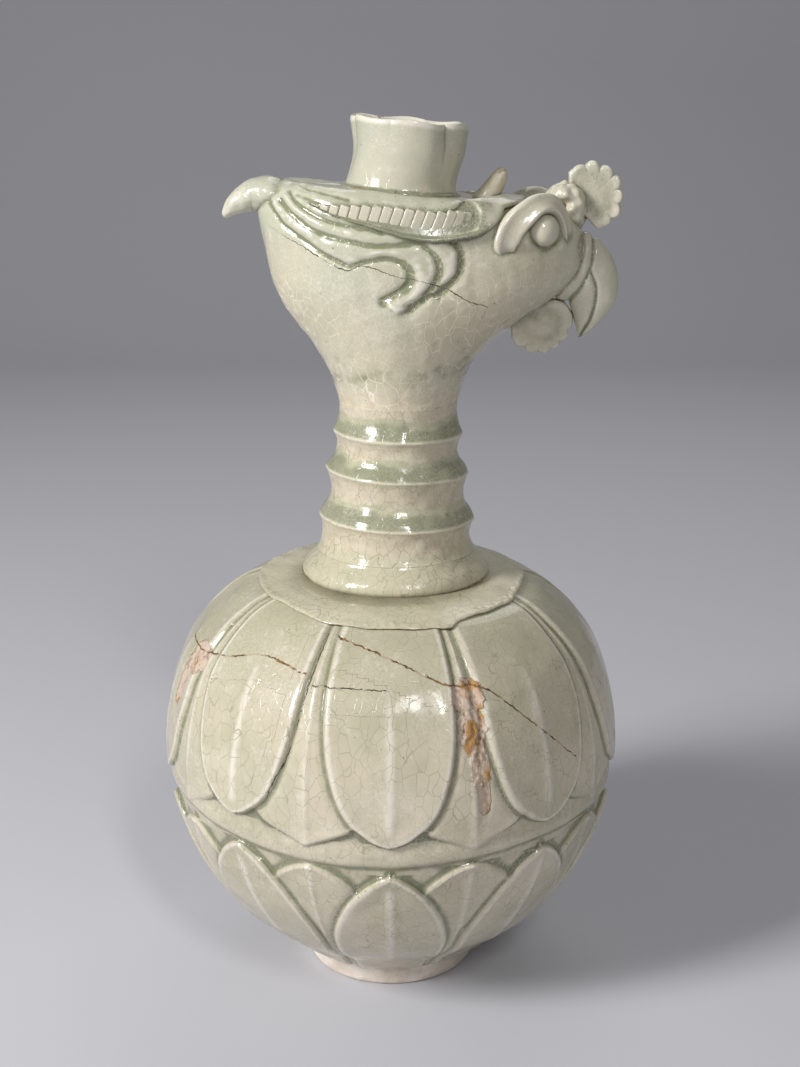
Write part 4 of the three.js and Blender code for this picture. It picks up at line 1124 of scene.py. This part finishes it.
def dress(piece, depth):
    """Gives a finished mesh the plain fields that the glaze reads, and smooth faces."""
    mesh = piece.data
    mesh.polygons.foreach_set("use_smooth", [True] * len(mesh.polygons))
    for key, field in plain_fields(len(mesh.vertices), depth).items():
        if key not in mesh.attributes:
            mesh.attributes.new(key, "FLOAT", "POINT")
        mesh.attributes[key].data.foreach_set("value", field.astype(np.float32))


# Ornaments laid on the head
# The brow's leaf on the right side: x, y, z, half width and how far it stands out, and the way it faces
BROW = [
    (47.2, -29.7, 334.2, 0.5, 0.5), (47.0, -29.8, 335.4, 3.9, 1.7), (47.4, -29.6, 339.2, 5.3, 2.3),
    (50.0, -28.5, 344.6, 5.5, 2.6), (55.2, -25.8, 349.8, 5.2, 3.0), (61.4, -22.4, 353.6, 4.4, 3.4),
    (67.6, -18.8, 352.6, 3.5, 3.2), (71.6, -15.4, 346.8, 2.7, 2.8), (73.3, -13.4, 340.4, 2.1, 2.5),
    (73.4, -13, 336.6, 0.5, 1.2),
]
BROW_FACING = [
    (0.3, -0.95, 0), (0.3, -0.95, 0.02), (0.32, -0.94, 0.08), (0.36, -0.88, 0.3), (0.42, -0.76, 0.5),
    (0.5, -0.66, 0.56), (0.66, -0.62, 0.42), (0.78, -0.6, 0.16), (0.82, -0.57, 0), (0.82, -0.57, -0.05),
]
# Its section: share of the half width, and share of how far it stands out
BROW_SECTION = [
    (-1, -1.6), (-1.02, 0), (-0.97, 0.55), (-0.82, 0.92), (-0.6, 1.0), (-0.25, 0.86), (0.15, 0.8),
    (0.5, 0.86), (0.8, 0.94), (0.96, 0.6), (1.02, 0), (1, -1.6),
]


def brow(side, label):
    """A thick leaf of clay that rises behind the eye, folds over it and comes down in front."""
    steps = 100
    stations = path_through(BROW, steps)
    path, half, lift = stations[:, :3], stations[:, 3], stations[:, 4]
    tangent = unit(np.gradient(path, axis=0))
    facing = unit(path_through(BROW_FACING, steps))
    facing = unit(facing - tangent * np.sum(facing * tangent, axis=1)[:, None])
    across = np.cross(tangent, facing)
    section = path_through(BROW_SECTION, 48)
    height = section[None, :, 1] * np.where(section[:, 1] > 0, lift[:, None], 4.2)
    wide = section[None, :, 0] * half[:, None]
    rings = path[:, None] + across[:, None] * wide[..., None] + facing[:, None] * height[..., None]
    rings += 0.15 * wobble(rings, 9.0, 81)[..., None]
    rings *= (1, -side, 1)
    share = np.abs(section[None, :, 0]) + 0 * half[:, None]
    depth = 0.5 - 0.22 * bump(share - 0.85, 0.15) + 0.3 * smooth(0.3, -0.4, section[:, 1])[None, :]
    return glazed(f"brow_leaf_{label}", rings, "caps", TRIM_GLAZE, "celadon_glaze", f"brow_{label}", depth)


def eye(side, label):
    """A round ball of clay pressed on."""
    place = eye_place(side)
    around_eye = head_surface(math.radians(side * EYE_DEGREES) + 0.01, EYE_LEVEL) - place
    rising = head_surface(math.radians(side * EYE_DEGREES), EYE_LEVEL + 0.01) - place
    normal = unit(np.cross(around_eye, rising))
    rising = unit(rising - normal * (rising @ normal))
    level = np.cross(rising, normal)
    ring = full_turn(64)
    rings = []
    for turn in np.linspace(0.03, math.pi - 0.03, 34):
        out, wide = math.cos(turn), math.sin(turn)
        spread = wide ** 0.92
        rings.append(place + normal * (0.9 + 5.9 * out) + np.outer(6.9 * spread * np.cos(ring), level)
                     + np.outer(6.9 * spread * np.sin(ring), rising))
    rings = np.array(rings) + (-1.2, 0, 1.0)
    depth = np.clip(0.52 + 0.3 * smooth(0.4, -0.6, (rings - place) @ normal / 5.0), 0, 1)
    return glazed(f"eye_pellet_{label}", rings, "caps", TRIM_GLAZE, "pooled_glaze", f"eye_{label}", depth)


# The beak seen from its right side, as x, z: its ridge, its chin, the line between its halves, two grooves
RIDGE = [
    (76, 345.5), (80.8, 342), (87.1, 339.3), (92.8, 333.8), (96.5, 327.4), (98.1, 319.7), (97.9, 313.3),
    (95.1, 307.2), (90.1, 301.1), (85, 296.8), (82.6, 295.7),
]
CHIN = [(66, 313.5), (71.1, 312.4), (75, 311.1), (77.9, 308.3), (80.5, 300.7), (81.1, 296.8), (81.8, 295.6)]
MOUTH_LINE = [(84.9, 325.4), (87.7, 318.8), (87.9, 311.9), (85.8, 303.3), (82.9, 297.9), (82.2, 295.0)]
GROOVE_ROOT = [(81.5, 341.5), (81.7, 334), (79, 325.4), (75.7, 320.7), (72.4, 316.7), (69, 311)]
GROOVE_BAND = [(86.8, 341), (85.9, 330.9), (84.4, 325), (81.2, 318.2), (77.3, 312.6), (75.5, 308)]


def beak():
    """The hooked beak: a rounded band at its root, then two mandibles that meet in an incised line."""
    rows, columns = 150, 128
    u = np.linspace(0, 1, rows) ** 0.9
    ridge = path_through(RIDGE, u)
    chin_share = curve_through([(0, 0), (0.105, 0.2), (0.5, 0.62), (1, 1)])(u)
    chin = path_through(CHIN, chin_share)
    half = curve_through([
        (0, 13.5), (0.12, 11.6), (0.3, 9.6), (0.5, 7.2), (0.7, 4.9), (0.88, 2.9), (0.97, 1.6), (1, 0.7),
    ])(u)
    ring = full_turn(columns)
    c, s = np.cos(ring), np.sin(ring)
    middle, reach = (ridge + chin) / 2, (ridge - chin) / 2
    fullness = np.sign(c) * np.abs(c) ** 0.9
    xz = middle[:, None, :] + reach[:, None, :] * fullness[None, :, None]
    y = half[:, None] * (np.sign(s) * np.abs(s) ** 0.85)[None, :]
    flat = np.stack(np.broadcast_arrays(xz[..., 0], xz[..., 1]), axis=-1)
    cut = 0
    for line, wide, deep in ((MOUTH_LINE, 0.75, 1.1), (GROOVE_ROOT, 0.9, 1.0), (GROOVE_BAND, 0.9, 1.0)):
        away, _, _ = line_distance(flat, path_through(line, 30))
        cut = np.maximum(cut, deep * bump(away, wide) + 0.3 * deep * bump(away, 2.6 * wide))
    rings = np.stack([xz[..., 0], y + 0 * xz[..., 0], xz[..., 1]], axis=-1)
    out = unit(np.stack([reach[:, None, 0] * c, half[:, None] * s * 1.6, reach[:, None, 1] * c], axis=-1))
    swell = 0.9 * bump((flat[..., 0] - 82.5) - 0.12 * (flat[..., 1] - 326), 2.5)
    swell *= smooth(350, 335, flat[..., 1])
    rings = rings + out * (0.4 * swell - cut)[..., None]
    rings += 0.12 * wobble(rings, 9.0, 91)[..., None] * out
    depth = np.clip(0.5 + 0.35 * cut - 0.06 + 0.1 * smooth(318, 300, rings[..., 2]), 0, 1)
    return glazed("beak_modelled", rings, "caps", TRIM_GLAZE, "celadon_glaze", "beak_upper beak_lower",
                  depth)


def scalloped_fan(name, centre, reach, turns, lobes, root, thick, slot, node):
    """A dished sheet of clay in the middle plane, its rolled edge pressed into lobes."""
    phase = np.linspace(0, lobes, 30 * lobes)
    turn = turns[0] + (turns[1] - turns[0]) * phase / lobes
    notch = 1 - np.abs(np.sin(math.pi * phase)) ** 0.7
    notch[phase < 0.3] = notch[phase > lobes - 0.3] = 0
    radius = curve_through(reach)(turn) * (1 - 0.13 * notch)
    angle = np.radians(turn)
    lobed = np.array(centre) + np.stack([np.cos(angle), np.sin(angle)], axis=-1) * radius[:, None]
    rooted = path_through([lobed[-1], *root, lobed[0]], 50)[1:-1]
    outline = np.concatenate([lobed, rooted])
    crease = np.concatenate([notch, 0 * rooted[:, 0]])
    shares = np.array([0.04, 0.15, 0.3, 0.45, 0.58, 0.68, 0.76, 0.82, 0.87, 0.91, 0.945, 0.97, 0.988, 1.0])
    half = curve_through([
        (0, 2.2), (0.4, 2.0), (0.7, 1.9), (0.86, 2.3), (0.94, 2.2), (0.98, 1.5), (1, 0.4),
    ])(shares)
    flat = np.array(centre) + (outline - centre)[None] * shares[:, None, None]
    groove = crease[None, :] * smooth(0.68, 0.92, shares)[:, None]
    thickness = half[:, None] * thick * (1 - 0.3 * groove)
    front = np.stack([flat[..., 0], -thickness, flat[..., 1]], axis=-1)
    rings = np.concatenate([front, front[::-1] * (1, -1, 1)])
    rings += 0.16 * wobble(rings, 8.0, 95)[..., None]
    share = np.concatenate([shares, shares[::-1]])[:, None]
    # Glaze pools in the notch grooves and thins on the rim; the middle is painted darker as painted shade of
    # the dished face
    depth = 0.5 + 0.25 * np.concatenate([groove, groove[::-1]]) + 0.12 * bump(share - 0.6, 0.2)
    depth = np.clip(depth - 0.2 * smooth(0.8, 0.95, share) + 0.16 * smooth(0.9, 0.3, share), 0, 1)
    return glazed(name, rings, "caps", TRIM_GLAZE, slot, node, depth)


# How far each fan reaches from its centre, by angle in degrees
COMB_REACH = [(-82, 14.6), (-40, 14.4), (0, 13.0), (40, 13.4), (95, 14.6), (140, 14.2)]
WATTLE_REACH = [(195, 14.4), (248, 12.7), (277, 11.6), (316, 11.0), (354, 12.4), (386, 14.2)]


def tapering(stations, rows, columns, seed):
    """A lump that tapers along a bent path: stations of x, z, half across, half thick, tilt in degrees."""
    rows = path_through(stations, rows)
    ring = full_turn(columns)
    rings = []
    for x, z, across, thick, tilt in rows:
        n = np.cos(ring) * thick
        rings.append(np.stack([x + n * math.sin(math.radians(tilt)), np.sin(ring) * across,
                               z + n * math.cos(math.radians(tilt))], axis=-1))
    rings = np.array(rings)
    return rings + 0.18 * wobble(rings, 6.0, seed)[..., None]


def cere_curl():
    """A thick tongue of clay bent over the root of the beak, creased along it, its lower end curled in."""
    rings = tapering([
        (65.8, 350.8, 5.0, 1.6, -54), (67.4, 353.0, 6.8, 3.0, -48), (70.4, 356.2, 8.4, 4.0, -30),
        (74.8, 356.3, 9.2, 5.2, 8), (77.7, 353.7, 8.8, 5.6, 50), (78.3, 349.6, 8.0, 5.6, 82),
        (77.9, 345.2, 6.4, 4.8, 104), (77.2, 341.4, 4.2, 3.4, 116), (76.8, 339.6, 1.2, 1.0, 120),
    ], 90, 72, 97)
    middle = rings.mean(axis=1, keepdims=True)
    rings += unit(rings - middle) * (0.5 * wobble(rings, 5.0, 98))[..., None]
    crease = bump(rings[..., 1] - 2.4, 1.0) + bump(rings[..., 1] + 2.4, 1.0)
    rings -= unit(rings - middle) * (0.7 * crease)[..., None]
    depth = np.clip(0.48 + 0.2 * crease + 0.3 * smooth(348, 341, rings[..., 2]), 0, 1)
    return glazed("cere_tongue", rings, "caps", TRIM_GLAZE, "celadon_glaze", "cere_curl", depth)


def horn():
    """A short stub on the forehead, worn through to brown clay at its tip."""
    rings = tapering([
        (37.3, 350, 5.6, 5.6, -57), (40.2, 354.6, 5.0, 4.8, -57), (42.7, 358, 4.6, 4.4, -57),
        (44.9, 361.2, 4.1, 3.9, -58), (46.4, 363.8, 3.6, 3.3, -60), (47.4, 365.6, 3.0, 2.7, -62),
        (48.0, 366.7, 2.1, 1.7, -62), (48.3, 367.2, 0.7, 0.5, -62),
    ], 60, 56, 101)
    z = rings[..., 2]
    worn = smooth(363, 367, z + 1.2 * wobble(rings, 5.0, 102))
    depth = 0.42 + 0.35 * bump(z - 352, 2.5)
    return glazed("horn_stub", rings, "caps", TRIM_GLAZE, "worn_biscuit", "horn", depth,
                  bare=0.65 * smooth(354, 359, z), scar=0.55 * worn)


def crest_tip():
    """The pointed end of the crest behind the head, hooked down, with a seam where it was pressed on."""
    rings = tapering([
        (-45.5, 356.4, 14.5, 6.4, 0), (-51, 357.0, 12.6, 7.3, -2), (-58.4, 356.3, 9.4, 6.7, -8),
        (-62.6, 354.3, 7.6, 5.7, -22), (-66.2, 351.8, 5.8, 4.4, -42), (-68.4, 349.4, 4.0, 3.0, -62),
        (-69.6, 347.7, 2.4, 1.9, -76), (-70.1, 346.6, 0.6, 0.5, -80),
    ], 80, 72, 103)
    x, z = rings[..., 0], rings[..., 2]
    seam = bump(x + 58.4, 0.4) * smooth(360, 356, z)
    rings = rings - unit(rings - np.array([-58.4, 0, 355.6])) * (0.2 * seam)[..., None]
    depth = np.clip(0.45 - 0.12 * smooth(-58, -66, x) + 0.3 * seam, 0, 1)
    return glazed("crest_hook", rings, "caps", TRIM_GLAZE, "worn_biscuit", "crest_tip", depth,
                  bare=0.25 * smooth(-58.4, -60, x))


# Assembly
upper_body()
lower_bowl()
foot_ring()
collar = shoulder_collar()
skirt = neck_flange()
neck_tube()
head = head_shell()
mouth = mouth_cup()
band = crest_band()
brows = [brow(-1, "right"), brow(1, "left")]
eyes = [eye(-1, "right"), eye(1, "left")]
beak_piece = beak()
comb = scalloped_fan("comb_scalloped", (86, 356), COMB_REACH, turns=(138, -80), lobes=7, thick=1.15,
                     root=[(83, 347), (78.5, 349.5), (75.8, 357)], slot="celadon_glaze", node="comb")
wattle = scalloped_fan("wattle_scalloped", (66, 300), WATTLE_REACH, turns=(197, 384), lobes=6, thick=1.0,
                       root=[(74, 312), (63, 311), (53, 303)], slot="pooled_glaze", node="wattle")
cere = cere_curl()
horn_piece = horn()
hook = crest_tip()
# Pooled glaze where the pieces meet, deepened further as painted shade in each joint
pool_and_shade_at_joints([head, mouth, band, *brows, *eyes, beak_piece, comb, wattle, cere, horn_piece, hook])
pool_and_shade_at_joints([collar, skirt], most=0.62)


# Stage and light
def make_stage():
    """A pale floor that curves up into a pale backdrop, as one sheet of paper does."""
    # In metres, seen from the side: the floor's front, where the bend starts, its radius, and the top
    front, bend_start, bend, top, half_width = -2.5, 1.6, 0.9, 4.0, 4.0
    turns = np.linspace(0.1, math.pi / 2, 14)
    profile = [(front, 0.0), (bend_start, 0.0)]
    profile += [(bend_start + bend * math.sin(a), bend - bend * math.cos(a)) for a in turns]
    profile += [(bend_start + bend, top)]
    points = [(x, y, z) for y, z in profile for x in (-half_width, half_width)]
    faces = [(2 * i, 2 * i + 1, 2 * i + 3, 2 * i + 2) for i in range(len(profile) - 1)]
    mesh = bpy.data.meshes.new("studio_paper")
    mesh.from_pydata(points, [], faces)
    mesh.polygons.foreach_set("use_smooth", [True] * len(faces))
    material, t = new_material("studio_paper_pale")
    shader = put(t, "ShaderNodeBsdfPrincipled", {"Base Color": colour("#c4c4ca"), "Roughness": 0.9})
    put(t, "ShaderNodeOutputMaterial", {"Surface": shader})
    mesh.materials.append(material)
    link(bpy.data.objects.new("studio_paper", mesh))


# What the lamps face, in metres
BODY_MIDDLE = (0.0, 0.0, 0.2)


def area_light(name, place, size, power):
    """A soft panel that faces the middle of the vessel: place and size in metres, power in watts."""
    data = bpy.data.lights.new(name, "AREA")
    data.shape = "RECTANGLE"
    data.size, data.size_y = size
    data.energy = power
    lamp = link(bpy.data.objects.new(name, data))
    lamp.location = place
    lamp.rotation_euler = (Vector(BODY_MIDDLE) - Vector(place)).to_track_quat("-Z", "Y").to_euler()


def make_light():
    """A window on the left, a narrow high one in front, a weak panel behind, and pale light all round."""
    area_light("window_left", (-1.25, -0.85, 1.05), (0.4, 0.65), 32.0)
    area_light("window_front", (0.5, -1.65, 1.6), (0.2, 0.6), 12.0)
    area_light("soft_back", (0.3, 1.1, 1.5), (1.2, 0.8), 5.0)
    world = bpy.data.worlds.new("studio")
    world.use_nodes = True
    world.node_tree.nodes["Background"].inputs["Color"].default_value = colour("#e4e4e4")
    world.node_tree.nodes["Background"].inputs["Strength"].default_value = 0.15
    bpy.context.scene.world = world


make_stage()
make_light()
bpy.context.scene.view_settings.view_transform = "Standard"
